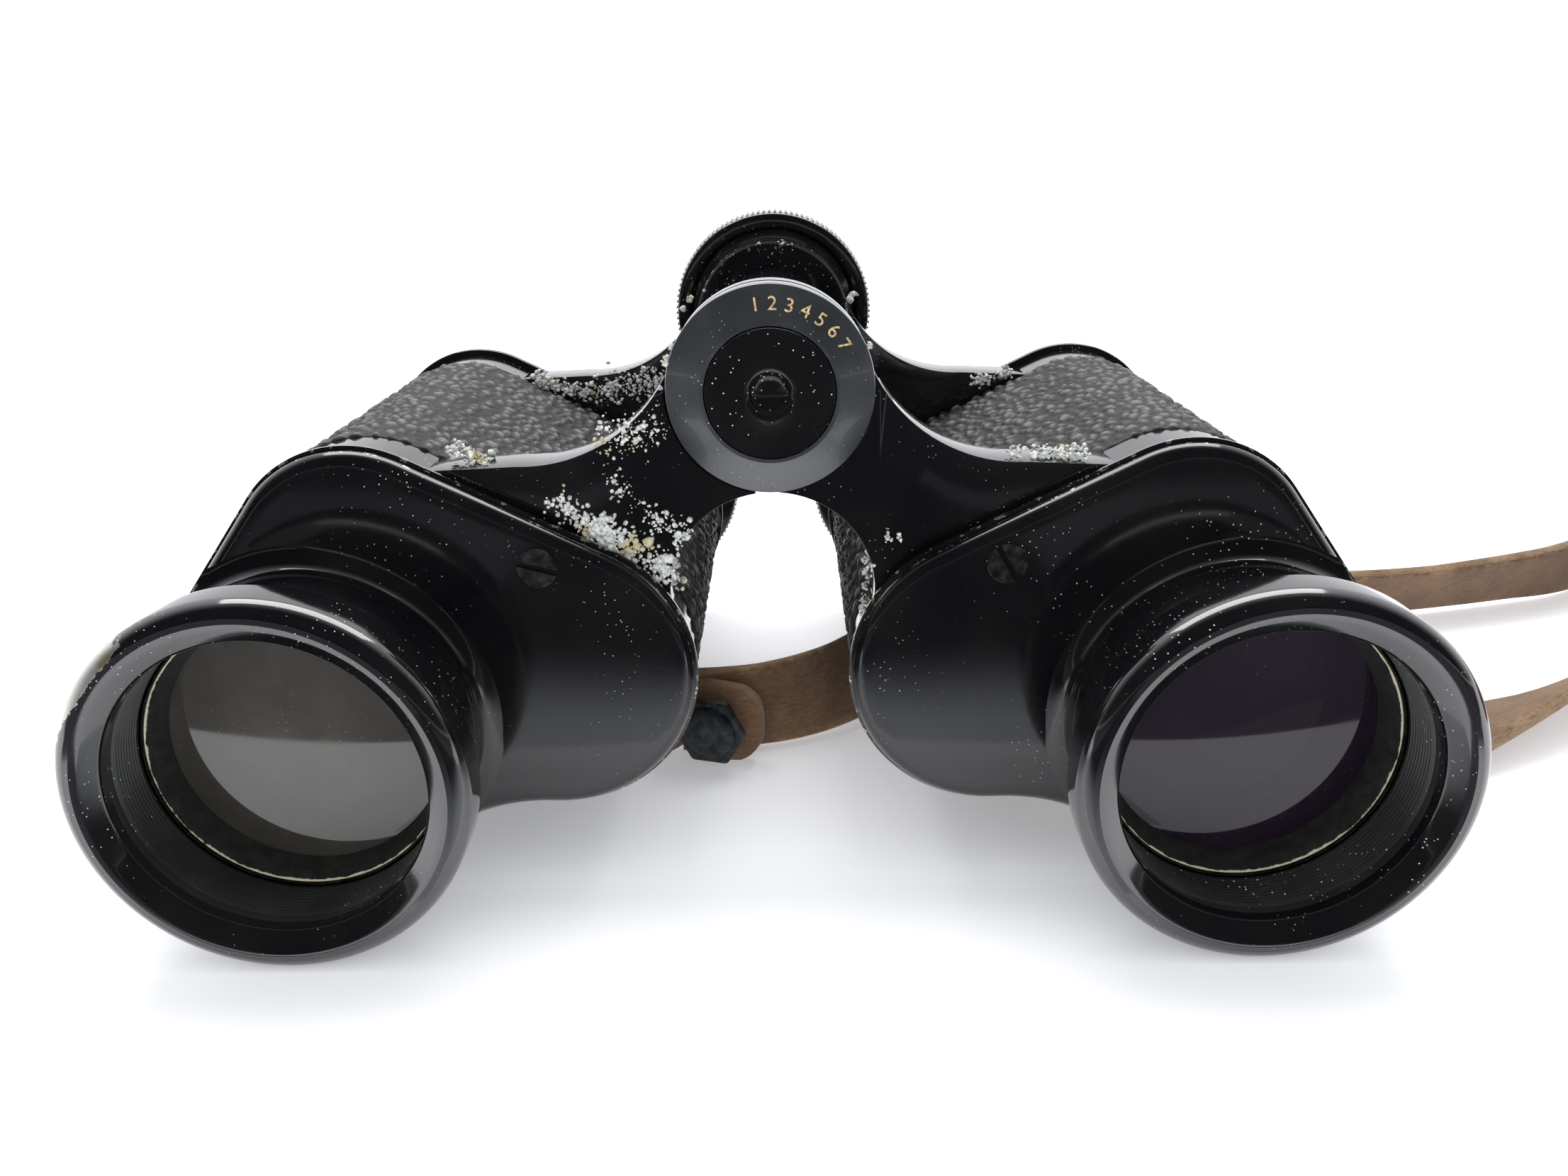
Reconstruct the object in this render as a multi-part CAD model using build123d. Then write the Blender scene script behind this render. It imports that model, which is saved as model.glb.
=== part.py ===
from build123d import *
import math
import os

# Prism binoculars: two prism housings on one hinge, centre focusing, with a neck strap.
# Everything is modelled about the hinge axis, which runs along +Y: stations along it are
# counted from the plane of the objective rims, X is to the right and Z is up. save() moves
# each piece to the part's own frame, whose origin is on the surface that the part rests on.

# ---- Driving dimensions, millimetres -------------------------------------------------
RIM_R = 21.0  # outer radius of an objective rim, which rests on the table
OBJECTIVE = (51.8, -36.7)  # objective axis, x and z from the hinge axis
OCULAR = (25.4, -31.6)  # ocular axis
TURNING = (41.0, -21.0)  # where the light runs forwards between the two prisms
TOP_LOBE = (46.0, -19.2)  # centre of the housing's upper corner
LENGTH = 113.6  # objective rim to eyecup rim
RIM_FRONT = -1.6  # station of the rims' front
MID = RIM_FRONT + LENGTH / 2
HINGE_HEIGHT = RIM_R - OBJECTIVE[1]

# Housing section: three round corners and a hollow lower side
OBJECTIVE_CORNER_R = 18.8
OCULAR_CORNER_R = 15.6
TOP_CORNER_R = 13.1
OCULAR_CORNER = (25.1, -32.2)
HOLLOW_R = 25.0
WALL = 1.9
LEATHER = 0.9
COVER_LIP = 0.6

# Stations along the hinge axis
NECK_START, COVER_START, BODY_START = 5.1, 17.0, 19.4
LEATHER_START, LEATHER_END = 26.7, 75.3
BODY_END, REAR_COVER_END = 82.6, 85.0
FRONT_ARM = (20.5, 26.5)
REAR_ARM = (75.5, 81.5)
KNUCKLE_GAP = 0.2  # between one side's knuckle and the other's
SHELF = (46.5, 49.5)

# Hinge
KNUCKLE_R = 11.2
KNUCKLE_ROOM = 0.3
AXLE_R = 4.0
RUNNING_FIT = 0.05
SEAT_FIT = 0.02
SLEEVE_R = 7.5
ARCH = ((0.0, -23.0), 11.6)  # the round gap under the hinge
SADDLE = ((27.4, 10.0), 18.2)  # the hollow top edge of an arm

# Objective
THREAD_R = 16.5  # bore of the rim, which takes a filter
RIM_END, SKIRT_END = 5.0, 7.9
NECK_R, NECK_BORE_R = 18.3, 17.3
CELL_R, CELL_BORE_R = 17.2, 16.1
CELL = (8.0, 19.2)
LENS_R = 15.6
LENS_EDGE, LENS_BACK = 12.2, 17.7  # stations of the lens's front edge and of its seat
CLEAR_R = 15.0
STOP_R = 14.4  # the opening behind the lens

# Cover screws
FRONT_SCREW = (25.8, -18.65)
REAR_SCREWS = ((46.5, -10.6), (63.5, -44.7))
SCREW_HEAD_R, SCREW_SHANK_R, SCREW_HOLE_R = 2.3, 1.1, 1.15
SCREW_HEAD_HIGH, SCREW_PROUD, SCREW_LONG = 1.3, 0.3, 6.5
SCREW_SLOT = 0.7
RECESS = SCREW_HEAD_HIGH - SCREW_PROUD

# Focusing
WHEEL_R = 15.0
WHEEL = (82.7, 89.3)
SPINDLE_R = 2.6
LEFT_BRIDGE, RIGHT_BRIDGE = (92.0, 95.0), (95.2, 98.2)
TUBE_R, TUBE_BORE_R = 11.5, 10.3
TUBE = (76.0, 106.0)
GUIDE_R, GUIDE_FLANGE_R = 13.0, 14.6
GUIDE_END = 89.8
DIOPTRE_R = 12.5
EYECUP_R = 18.9
EYECUP = (100.4, RIM_FRONT + LENGTH)
EYE_HOLLOW_R, EYE_HOLLOW_START = 13.5, 107.6
EYE_HOLE_R = 8.0

# Prisms
PRISM_HALF_LENGTH = 17.5
PRISM_HALF_WIDTH = 7.5

# Strap
STRAP_WIDTH, STRAP_THICK = 12.0, 1.6
POST, POST_R = (27.0, 58.0), 2.0
COIL_CENTRE, COIL_R = (211, 84), 64.0
TABLE = -HINGE_HEIGHT
STANDING = (Align.CENTER, Align.CENTER, Align.MIN)


# ---- Helpers -------------------------------------------------------------------------
def save(name, *shapes):
    """Moves a piece from the hinge axis to the part's frame and writes it."""
    move = Pos(0, -MID, HINGE_HEIGHT)
    placed = [move * solid for shape in shapes for solid in shape.solids()]
    whole = placed[0] if len(placed) == 1 else Compound(children=placed)
    export_step(whole, f"parts/{name}.step")


def section(station):
    """The plane across the hinge axis at a station, where a sketch's x and y are X and Z."""
    return Plane(origin=(0, station, 0), x_dir=(1, 0, 0), z_dir=(0, -1, 0))


def slab(sketch, start, end):
    """A sketch of X and Z, thickened from one station to another."""
    return extrude(section(start) * sketch, amount=start - end)


def disc(centre, radius, start, end):
    return slab(Pos(*centre) * Circle(radius), start, end)


def ring(centre, outer, inner, start, end):
    return slab(Pos(*centre) * Circle(outer) - Pos(*centre) * Circle(inner), start, end)


def turned(centre, wire):
    """A closed profile of (radius, station), turned about an axis along Y."""
    x, z = centre
    face = Pos(x, 0, z) * make_face(wire)
    return revolve(face, Axis((x, 0, z), (0, 1, 0)))


def turned_points(centre, points, rounds=None):
    """A turned piece from corner points; rounds gives a corner's rounding by its number."""
    radii = [(rounds or {}).get(i, 0) for i in range(len(points))]
    wire = FilletPolyline(*points, radius=radii, close=True)
    return turned(centre, wire.edges())


def circles_meet(a, ra, b, rb, below):
    """Where two circles cross, the crossing to the lower or upper side of the line a-b."""
    dx, dz = b[0] - a[0], b[1] - a[1]
    d = math.hypot(dx, dz)
    along = (ra * ra - rb * rb + d * d) / (2 * d)
    off = math.sqrt(ra * ra - along * along)
    side = 1 if below else -1
    return (a[0] + along * dx / d + side * off * dz / d, a[1] + along * dz / d - side * off * dx / d)


def hull_of(first, r1, second, r2):
    return make_hull([*(Pos(*first) * Circle(r1)).edges(), *(Pos(*second) * Circle(r2)).edges()])


def outline(grow=0.0):
    """The housing's section, grown outwards or inwards by an even amount."""
    objective, ocular = OBJECTIVE_CORNER_R + grow, OCULAR_CORNER_R + grow
    top = TOP_CORNER_R + grow
    hollow = HOLLOW_R - grow
    dip = circles_meet(OCULAR_CORNER, ocular + hollow, OBJECTIVE, objective + hollow, True)
    web = make_face(Polyline(OCULAR_CORNER, OBJECTIVE, dip, close=True)) - Pos(*dip) * Circle(hollow)
    middle = make_face(Polyline(OCULAR_CORNER, OBJECTIVE, TOP_LOBE, close=True))
    return (
        hull_of(OCULAR_CORNER, ocular, TOP_LOBE, top)
        + hull_of(TOP_LOBE, top, OBJECTIVE, objective)
        + middle
        + web
    )


def lens(centre, radius, front, back, front_bulge, back_bulge):
    """A lens from its edge stations; a bulge is how far a face stands out at the middle."""

    def cap(station, bulge, forwards):
        r = (radius**2 + bulge**2) / (2 * abs(bulge))
        turn = math.degrees(math.asin(radius / r))
        towards_front = forwards == (bulge > 0)
        if towards_front:
            return CenterArc((0, station - abs(bulge) + r), r, -90, turn)
        return CenterArc((0, station + abs(bulge) - r), r, 90, -turn)

    face_front = cap(front, front_bulge, True)
    face_back = cap(back, back_bulge, False)
    return turned(
        centre,
        [
            face_front.edge(),
            Line(face_front @ 1, face_back @ 1).edge(),
            face_back.edge(),
            Line(face_back @ 0, face_front @ 0).edge(),
        ],
    )


# ---- One barrel ----------------------------------------------------------------------
def body_shell():
    """The cast prism housing, open at both ends and let in where the leather lies."""
    cavity = outline(-LEATHER - WALL)
    bands = slab(outline() - cavity, BODY_START, LEATHER_START - 0.05)
    bands += slab(outline() - cavity, LEATHER_END + 0.05, BODY_END)
    bands += slab(outline(-LEATHER) - cavity, LEATHER_START - 0.05, LEATHER_END + 0.05)
    boss = slab(Pos(*FRONT_SCREW) * Circle(3.4) & outline(-LEATHER), BODY_START, BODY_START + 9)
    bosses = [
        slab(Pos(*at) * Circle(3.2) & outline(-LEATHER), BODY_END - 8, BODY_END) for at in REAR_SCREWS
    ]
    for piece in [boss, *bosses]:
        bands += piece
    bands -= disc(FRONT_SCREW, SCREW_HOLE_R, BODY_START, BODY_START + 7)
    for at in REAR_SCREWS:
        bands -= disc(at, SCREW_HOLE_R, BODY_END - 6, BODY_END)
    return bands


def leather_cover():
    return slab(outline() - outline(-LEATHER + SEAT_FIT), LEATHER_START, LEATHER_END)


def front_cover():
    """The front plate with the neck that carries the objective."""
    plate = slab(outline(COVER_LIP), COVER_START, BODY_START)
    plate = fillet(plate.faces().sort_by(Axis.Y)[0].outer_wire().edges(), 1.5)
    neck = turned_points(
        OBJECTIVE,
        [
            (NECK_BORE_R - 2, NECK_START),
            (NECK_R, NECK_START),
            (NECK_R, COVER_START - 1.8),
            (NECK_R + 1.4, COVER_START - 0.4),
            (NECK_R + 1.4, COVER_START + 0.5),
            (NECK_BORE_R - 2, COVER_START + 0.5),
        ],
        {2: 3.0},
    )
    whole = plate + neck - disc(OBJECTIVE, NECK_BORE_R, NECK_START - 1, BODY_START + 1)
    whole -= disc(FRONT_SCREW, SCREW_SHANK_R + 0.1, COVER_START - 1, BODY_START + 1)
    return whole - disc(FRONT_SCREW, SCREW_HEAD_R + 0.1, COVER_START - 1, COVER_START + RECESS)


def rear_cover():
    plate = slab(outline(COVER_LIP), BODY_END, REAR_COVER_END)
    plate = fillet(plate.faces().sort_by(Axis.Y)[-1].outer_wire().edges(), 1.2)
    plate -= disc(OCULAR, GUIDE_R + SEAT_FIT, BODY_END - 1, REAR_COVER_END + 1)
    for at in REAR_SCREWS:
        plate -= disc(at, SCREW_SHANK_R + 0.1, BODY_END - 1, REAR_COVER_END + 1)
        plate -= disc(at, SCREW_HEAD_R + 0.1, REAR_COVER_END - RECESS, REAR_COVER_END + 1)
    return plate


def slotted_screw(at, head_station, forwards, slot_turn):
    """A cheese-head screw; forwards is -1 where the head looks to -Y and 1 to +Y."""
    low, high = sorted((head_station, head_station - forwards * SCREW_HEAD_HIGH))
    head = disc(at, SCREW_HEAD_R, low, high)
    cut = Pos(*at) * Rot(0, 0, slot_turn) * Rectangle(3 * SCREW_HEAD_R, SCREW_SLOT)
    slot = slab(cut, head_station - 0.6, head_station + 0.6)
    under_head = head_station - forwards * SCREW_HEAD_HIGH
    start, end = sorted((under_head, head_station - forwards * SCREW_LONG))
    return head - slot + disc(at, SCREW_SHANK_R, start, end)


def arm(stations, own_knuckle, side):
    """One hinge arm with its knuckle; the other barrel's knuckle turns in the gap beside it."""
    start, end = stations
    inner = [(11, -30), (0.3, -13.5), (0.3, 0), (9.0, 6.6)]
    over_the_housing = [(28.0, -8.2), (38.5, -8.2), (38.5, -20), (25, -30)]
    plan = make_face(Polyline(*inner, *over_the_housing, close=True))
    plan -= Pos(*ARCH[0]) * Circle(ARCH[1])
    plan -= Pos(*SADDLE[0]) * Circle(SADDLE[1])
    plan -= outline(SEAT_FIT)
    web = max((slab(piece, start, end) for piece in plan.faces()), key=lambda s: s.volume)
    web = fillet(web.edges().filter_by(GeomType.CIRCLE).filter_by(lambda e: e.length > 8), 0.8)
    room = disc((0, 0), KNUCKLE_R + KNUCKLE_ROOM, start - 1, end + 1)
    knuckle = disc((0, 0), KNUCKLE_R, *own_knuckle)
    reach = slab(plan & Circle(KNUCKLE_R + KNUCKLE_ROOM + 0.5), *own_knuckle)
    bore = AXLE_R + (SEAT_FIT if side > 0 else RUNNING_FIT)
    return (web - room) + knuckle + reach - disc((0, 0), bore, start - 1, end + 1)


def objective_bezel():
    """The turned rim, bored plain where the real one has a fine thread, with a skirt in the neck."""
    return turned_points(
        OBJECTIVE,
        [
            (THREAD_R, SKIRT_END),
            (THREAD_R, RIM_FRONT),
            (RIM_R, RIM_FRONT),
            (RIM_R, RIM_END),
            (CELL_R, RIM_END),
            (CELL_R, SKIRT_END),
        ],
        {1: 1.9, 2: 2.4, 3: 1.2},
    )


def retaining_ring():
    """The ring that holds the objective, with a coned face towards the front."""
    outer, start, end = CELL_BORE_R - RUNNING_FIT, CELL[0], LENS_EDGE - 0.2
    return turned_points(OBJECTIVE, [(outer, start), (outer - 0.3, start), (CLEAR_R, end), (outer, end)])


def objective_cell():
    """The sleeve in the neck that holds the lens."""
    start, end = CELL
    seat = LENS_R + RUNNING_FIT
    return turned_points(
        OBJECTIVE,
        [
            (CELL_BORE_R, start),
            (CELL_BORE_R, LENS_EDGE),
            (seat, LENS_EDGE),
            (seat, LENS_BACK),
            (STOP_R, LENS_BACK),
            (STOP_R, end),
            (CELL_R, end),
            (CELL_R, start),
        ],
    )


def objective_lens():
    """A cemented doublet: a bulging crown in front and a hollow flint behind it."""
    joint = 13.8
    crown = lens(OBJECTIVE, LENS_R, LENS_EDGE, joint, 1.7, 1.9)
    flint = lens(OBJECTIVE, LENS_R, joint + 0.05, LENS_BACK - 0.05, -1.9, -0.4)
    return crown, flint


def prism(first, second, shelf, backwards):
    """A right-angle prism whose long face lies on the shelf, across two light paths."""
    mx, mz = (first[0] + second[0]) / 2, (first[1] + second[1]) / 2
    turn = math.degrees(math.atan2(second[1] - first[1], second[0] - first[0]))
    depth = PRISM_HALF_LENGTH
    y_dir = 1 if backwards else -1
    profile = Polyline((-depth, 0), (depth, 0), (0, depth * y_dir), close=True)
    wedge = extrude(make_face(profile), amount=PRISM_HALF_WIDTH, both=True)
    return Pos(mx, shelf, mz) * Rot(0, -turn, 0) * wedge


def prism_clip(first, second, shelf, backwards):
    """A spring strip over a prism's edge, with both feet on the shelf."""
    mx, mz = (first[0] + second[0]) / 2, (first[1] + second[1]) / 2
    turn = math.degrees(math.atan2(second[1] - first[1], second[0] - first[0]))
    y_dir = 1 if backwards else -1
    inner, outer = PRISM_HALF_LENGTH + 0.15, PRISM_HALF_LENGTH + 0.75
    band = make_face(Polyline((-outer, 0), (outer, 0), (0, outer * y_dir), close=True))
    gap = [(-inner, -y_dir), (inner, -y_dir), (inner, 0), (0, inner * y_dir), (-inner, 0)]
    band -= make_face(Polyline(*gap, close=True))
    strip = extrude(band, amount=2.0, both=True)
    return Pos(mx, shelf, mz) * Rot(0, -turn, 0) * strip


def prism_shelf():
    plate = outline(-LEATHER - WALL - 0.05)
    plate -= Pos(*OBJECTIVE) * Circle(11.5)
    for at in (TURNING, OCULAR):
        plate -= Pos(*at) * Circle(6.5)
    return slab(plate, *SHELF)


def ocular_guide():
    """The tube screwed into the rear cover, in which the ocular slides."""
    return turned_points(
        OCULAR,
        [
            (TUBE_R + RUNNING_FIT, BODY_END),
            (GUIDE_R, BODY_END),
            (GUIDE_R, REAR_COVER_END),
            (GUIDE_FLANGE_R, REAR_COVER_END),
            (GUIDE_FLANGE_R, REAR_COVER_END + 1.6),
            (GUIDE_R, REAR_COVER_END + 1.6),
            (GUIDE_R, GUIDE_END),
            (TUBE_R + RUNNING_FIT, GUIDE_END),
        ],
    )


def ocular_tube():
    return ring(OCULAR, TUBE_R, TUBE_BORE_R, *TUBE)


def eyecup():
    """The eyecup: a wide grip ring that narrows to a hollow for the eye."""
    start, end = EYECUP
    return turned_points(
        OCULAR,
        [
            (TUBE_R + SEAT_FIT, start),
            (EYECUP_R, start),
            (EYECUP_R, start + 3.6),
            (17.4, end),
            (EYE_HOLLOW_R, end),
            (EYE_HOLLOW_R, EYE_HOLLOW_START),
            (EYE_HOLE_R, EYE_HOLLOW_START),
            (EYE_HOLE_R, TUBE[1] + 0.1),
            (TUBE_R + SEAT_FIT, TUBE[1] + 0.1),
        ],
        {1: 0.8, 2: 0.8, 3: 1.2, 4: 1.2},
    )


def strap_post():
    """The headed post under the housing that the strap's end is looped round."""
    foot = Pos(*POST, TABLE)
    shaft = foot * Cylinder(POST_R, 11.5, align=STANDING)
    head = foot * Cylinder(2 * POST_R, 1.4, align=STANDING)
    casing = slab(outline(SEAT_FIT), LEATHER_START, LEATHER_END)
    return shaft + fillet(head.edges().filter_by(GeomType.CIRCLE), 0.4) - casing


def barrel_pieces():
    """The right barrel's pieces that the left barrel has as a mirror image."""
    screws = [slotted_screw(FRONT_SCREW, COVER_START - SCREW_PROUD, -1, 60)]
    screws += [slotted_screw(at, REAR_COVER_END + SCREW_PROUD, 1, 20) for at in REAR_SCREWS]
    return {
        "prism_body": [body_shell()],
        "leather_cover": [leather_cover()],
        "front_cover": [front_cover()],
        "rear_cover": [rear_cover()],
        "cover_screws": screws,
        "objective_bezel": [objective_bezel()],
        "retaining_ring": [retaining_ring()],
        "objective_cell": [objective_cell()],
        "objective_lens": list(objective_lens()),
        "prism_shelf": [prism_shelf()],
        "front_prism": [prism(OCULAR, TURNING, SHELF[0], False)],
        "rear_prism": [prism(OBJECTIVE, TURNING, SHELF[1], True)],
        "prism_clips": [
            prism_clip(OCULAR, TURNING, SHELF[0], False),
            prism_clip(OBJECTIVE, TURNING, SHELF[1], True),
        ],
        "ocular_guide": [ocular_guide()],
        "ocular_tube": [ocular_tube()],
        "eyecup": [eyecup()],
        "eye_lens": [lens(OCULAR, TUBE_BORE_R - 0.05, 102.5, 105.0, 0.8, 0.9)],
        "field_lens": [lens(OCULAR, TUBE_BORE_R - 0.05, 79.0, 82.0, 1.0, 1.0)],
        "strap_post": [strap_post()],
    }


# ---- Hinge, focusing and strap -------------------------------------------------------
def bridge_arm(stations, hub_bore, collar_bore):
    """An arm of the bridge that carries an ocular and swings with its barrel."""
    plan = hull_of((0, 0), 5.0, OCULAR, 6.0) + Circle(7.0) + Pos(*OCULAR) * Circle(14.8)
    plan -= Circle(hub_bore)
    plan -= Pos(*OCULAR) * Circle(collar_bore)
    return slab(plan, *stations)


def knurled_wheel():
    """The focusing wheel, with a hollow front face and fine grip teeth."""
    start, end = WHEEL
    wheel = turned_points(
        (0, 0),
        [
            (AXLE_R + RUNNING_FIT, start),
            (9.5, start),
            (9.5, start + 0.8),
            (12.6, start + 0.8),
            (12.6, start),
            (WHEEL_R, start),
            (WHEEL_R, end),
            (AXLE_R + RUNNING_FIT, end),
        ],
        {5: 0.5, 6: 0.5},
    )
    notch = slab(Pos(WHEEL_R, 0) * Rot(0, 0, 45) * Rectangle(0.7, 0.7), start - 1, end + 1)
    notches = [Rot(0, turn, 0) * notch for turn in range(0, 360, 6)]
    return wheel - notches


def hinge_pieces():
    start, back = FRONT_ARM[0], FRONT_ARM[0] - 0.15
    cone = [(7.1, back), (7.1, 18.3), (7.5, 18.3), (11.3, 20.0), (11.3, back)]
    cap = [(0, back), (0, 19.4), (1.9, 18.7), (2.35, 18.1), (7.0, 18.1), (7.0, back)]
    bore, bottom = SPINDLE_R + SEAT_FIT, 100.85
    nut = [(bore, 98.3), (6.4, 98.3), (6.4, 100.6), (0, 101.6), (0, bottom), (bore, bottom)]
    ocular_bores = TUBE_R + SEAT_FIT, DIOPTRE_R + RUNNING_FIT
    left_bridge = bridge_arm(LEFT_BRIDGE, SPINDLE_R + RUNNING_FIT, ocular_bores[0])
    hollow = ring((0, 0), AXLE_R, SPINDLE_R + 0.1, 55, 88)
    spindle = disc((0, 0), SPINDLE_R, 62, 100.8) + ring((0, 0), 4.6, SPINDLE_R - 0.5, 91.0, 91.8)
    return {
        "hinge_axle": [hollow + disc((0, 0), AXLE_R, start + 0.1, 55)],
        "hinge_sleeve": [ring((0, 0), SLEEVE_R, AXLE_R + SEAT_FIT, LEATHER_START, LEATHER_END)],
        "hinge_disc": [turned_points((0, 0), cone)],
        "hinge_cap": [turned_points((0, 0), cap)],
        "spacing_disc": [ring((0, 0), 10.5, AXLE_R + SEAT_FIT, REAR_ARM[1] + 0.1, 82.4)],
        "focus_wheel": [knurled_wheel()],
        "focus_spindle": [spindle],
        "bridge_nut": [turned_points((0, 0), nut)],
        "left_bridge_arm": [mirror(left_bridge, Plane.YZ)],
        "right_bridge_arm": [bridge_arm(RIGHT_BRIDGE, bore, ocular_bores[1])],
        "dioptre_ring": [ring(OCULAR, DIOPTRE_R, TUBE_R + RUNNING_FIT, 94.4, 99.0)],
    }


def ribbon(points, bend):
    """A flat strip on the table along a path of straight runs joined by tangent arcs."""
    path = FilletPolyline(*[(x, y, TABLE + STRAP_THICK / 2) for x, y in points], radius=bend)
    start = Plane(origin=path @ 0, z_dir=path % 0, x_dir=(path % 0).cross(Vector(0, 0, 1)))
    return sweep(start * Rectangle(STRAP_WIDTH, STRAP_THICK), path=path), path


def largest_arcs(points):
    """For each corner, 0.45 of its shorter run over the tangent of half the turn."""
    radii = []
    for before, at, after in zip(points, points[1:], points[2:]):
        first = Vector(at[0] - before[0], at[1] - before[1])
        second = Vector(after[0] - at[0], after[1] - at[1])
        half = math.radians(first.get_angle(second)) / 2
        radii.append(0.45 * min(first.length, second.length) / math.tan(half))
    return radii


# The strap's two visible strands. Past the second the rest is wound up in the coil.
FAR_STRAND = [
    (3.0, 52.5), (11, 59.5), (21, 73), (34, 86.5), (52, 94.5), (78, 97.5), (105, 99.5),
    (130, 105), (152, 108.5),
]
NEAR_STRAND = [
    (152, 62), (131, 56.5), (107, 48.6), (84, 38), (60, 28.5), (43, 25.6), (32, 31.5),
    (29.5, 43), (28, 52.6),
]


def strap_pieces():
    pieces = {}
    for name, points in (("strap_far", FAR_STRAND), ("strap_near", NEAR_STRAND)):
        radii = largest_arcs(points)
        solid, path = ribbon(points, radii)
        even = path.length * STRAP_WIDTH * STRAP_THICK
        print(name, "length", round(path.length, 1), "radii", [round(r, 1) for r in radii])
        print(name, "volume over section times length", round(solid.volume / even, 4))
        pieces[name] = [solid]
    x, y = COIL_CENTRE
    block = Pos(x, y, TABLE) * Cylinder(COIL_R, STRAP_WIDTH, align=STANDING)
    pieces["strap_coil"] = [block - Pos(x - COIL_R, y, TABLE) * Box(15, 90, 40)]
    return pieces


def tab_pieces():
    """The strap's doubled end beside the left barrel, standing on edge, with its stud."""
    leather = 2 * STRAP_THICK
    edge = Polyline((-16.4, 51.5), (-13, 48.6), (-8.5, 46.8), (-4, 46.6), (0.6, 49.6))
    band = offset(edge, leather / 2, side=Side.BOTH)
    tab = Pos(0, 0, TABLE) * extrude(make_face(band), amount=STRAP_WIDTH - 0.4)
    face = Plane(origin=(-8.9, 45.35, TABLE + 6.0), x_dir=(1, -0.3, 0), z_dir=(-0.3, -1, 0))
    stud = extrude(face * Circle(3.9), amount=1.1)
    return {"strap_tab": [tab - stud], "strap_stud": [stud - tab]}


def main():
    os.makedirs("parts", exist_ok=True)
    pieces = barrel_pieces()
    for name, shapes in pieces.items():
        save(f"right_{name}", *shapes)
        save(f"left_{name}", *[mirror(shape, Plane.YZ) for shape in shapes])
    front_middle, rear_middle = sum(FRONT_ARM) / 2, sum(REAR_ARM) / 2
    half_gap = KNUCKLE_GAP / 2
    save("right_front_arm", arm(FRONT_ARM, (FRONT_ARM[0], front_middle - half_gap), 1))
    left_front = arm(FRONT_ARM, (front_middle + half_gap, FRONT_ARM[1]), -1)
    save("left_front_arm", mirror(left_front, Plane.YZ))
    save("right_rear_arm", arm(REAR_ARM, (rear_middle + half_gap, REAR_ARM[1]), 1))
    left_rear = arm(REAR_ARM, (REAR_ARM[0], rear_middle - half_gap), -1)
    save("left_rear_arm", mirror(left_rear, Plane.YZ))
    for name, shapes in {**hinge_pieces(), **strap_pieces(), **tab_pieces()}.items():
        save(name, *shapes)


main()
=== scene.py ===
"""Prism binoculars with a neck strap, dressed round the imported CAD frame.

Shapes are worked out in millimetres about the hinge axis: x to the right, station along the
axis from the front of the rims towards the eyecups, and z up. Datum turns them into the
frame's metres. Each sub-assembly is a class with its own sizes, and each finish is a class.
"""

from __future__ import annotations

import logging
import math
from dataclasses import dataclass
from enum import Enum
from typing import Callable, Iterable, Sequence

import bmesh
import bpy
import numpy as np
from mathutils import Matrix, Vector

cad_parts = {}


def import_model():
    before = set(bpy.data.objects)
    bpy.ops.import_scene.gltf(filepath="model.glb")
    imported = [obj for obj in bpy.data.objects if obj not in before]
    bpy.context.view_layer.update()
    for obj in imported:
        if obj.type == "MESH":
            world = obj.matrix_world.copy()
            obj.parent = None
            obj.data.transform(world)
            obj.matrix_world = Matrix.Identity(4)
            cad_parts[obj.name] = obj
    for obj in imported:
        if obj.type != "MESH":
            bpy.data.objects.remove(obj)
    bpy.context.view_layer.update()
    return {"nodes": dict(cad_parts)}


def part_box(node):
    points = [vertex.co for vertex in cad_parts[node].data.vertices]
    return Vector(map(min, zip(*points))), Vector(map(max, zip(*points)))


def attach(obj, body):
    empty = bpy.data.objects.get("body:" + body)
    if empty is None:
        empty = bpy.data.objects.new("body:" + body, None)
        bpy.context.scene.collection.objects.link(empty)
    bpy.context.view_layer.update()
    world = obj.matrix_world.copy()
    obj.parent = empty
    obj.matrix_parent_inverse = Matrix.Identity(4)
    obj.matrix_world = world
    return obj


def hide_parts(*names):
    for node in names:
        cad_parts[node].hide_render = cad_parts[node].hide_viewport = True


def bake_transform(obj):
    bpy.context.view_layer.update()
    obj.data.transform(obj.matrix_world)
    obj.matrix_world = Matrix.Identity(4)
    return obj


LOG = logging.getLogger("binoculars")
MM = 0.001
Point = tuple[float, float]
Rings = list[np.ndarray]
WearRule = Callable[[np.ndarray, np.ndarray, np.ndarray], np.ndarray]


class Side(Enum):
    """Which barrel a piece belongs to; the value is the sign of its x."""

    RIGHT = 1
    LEFT = -1

    @property
    def word(self) -> str:
        """The side's name as the frame's nodes spell it."""
        return self.name.lower()

    @property
    def barrel(self) -> str:
        """The body that the side's housing rides on."""
        return f"{self.word}_barrel"

    @property
    def ocular_body(self) -> str:
        """The body that the side's eyecup rides on."""
        return "right_ocular" if self is Side.RIGHT else "left_bridge"


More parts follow.
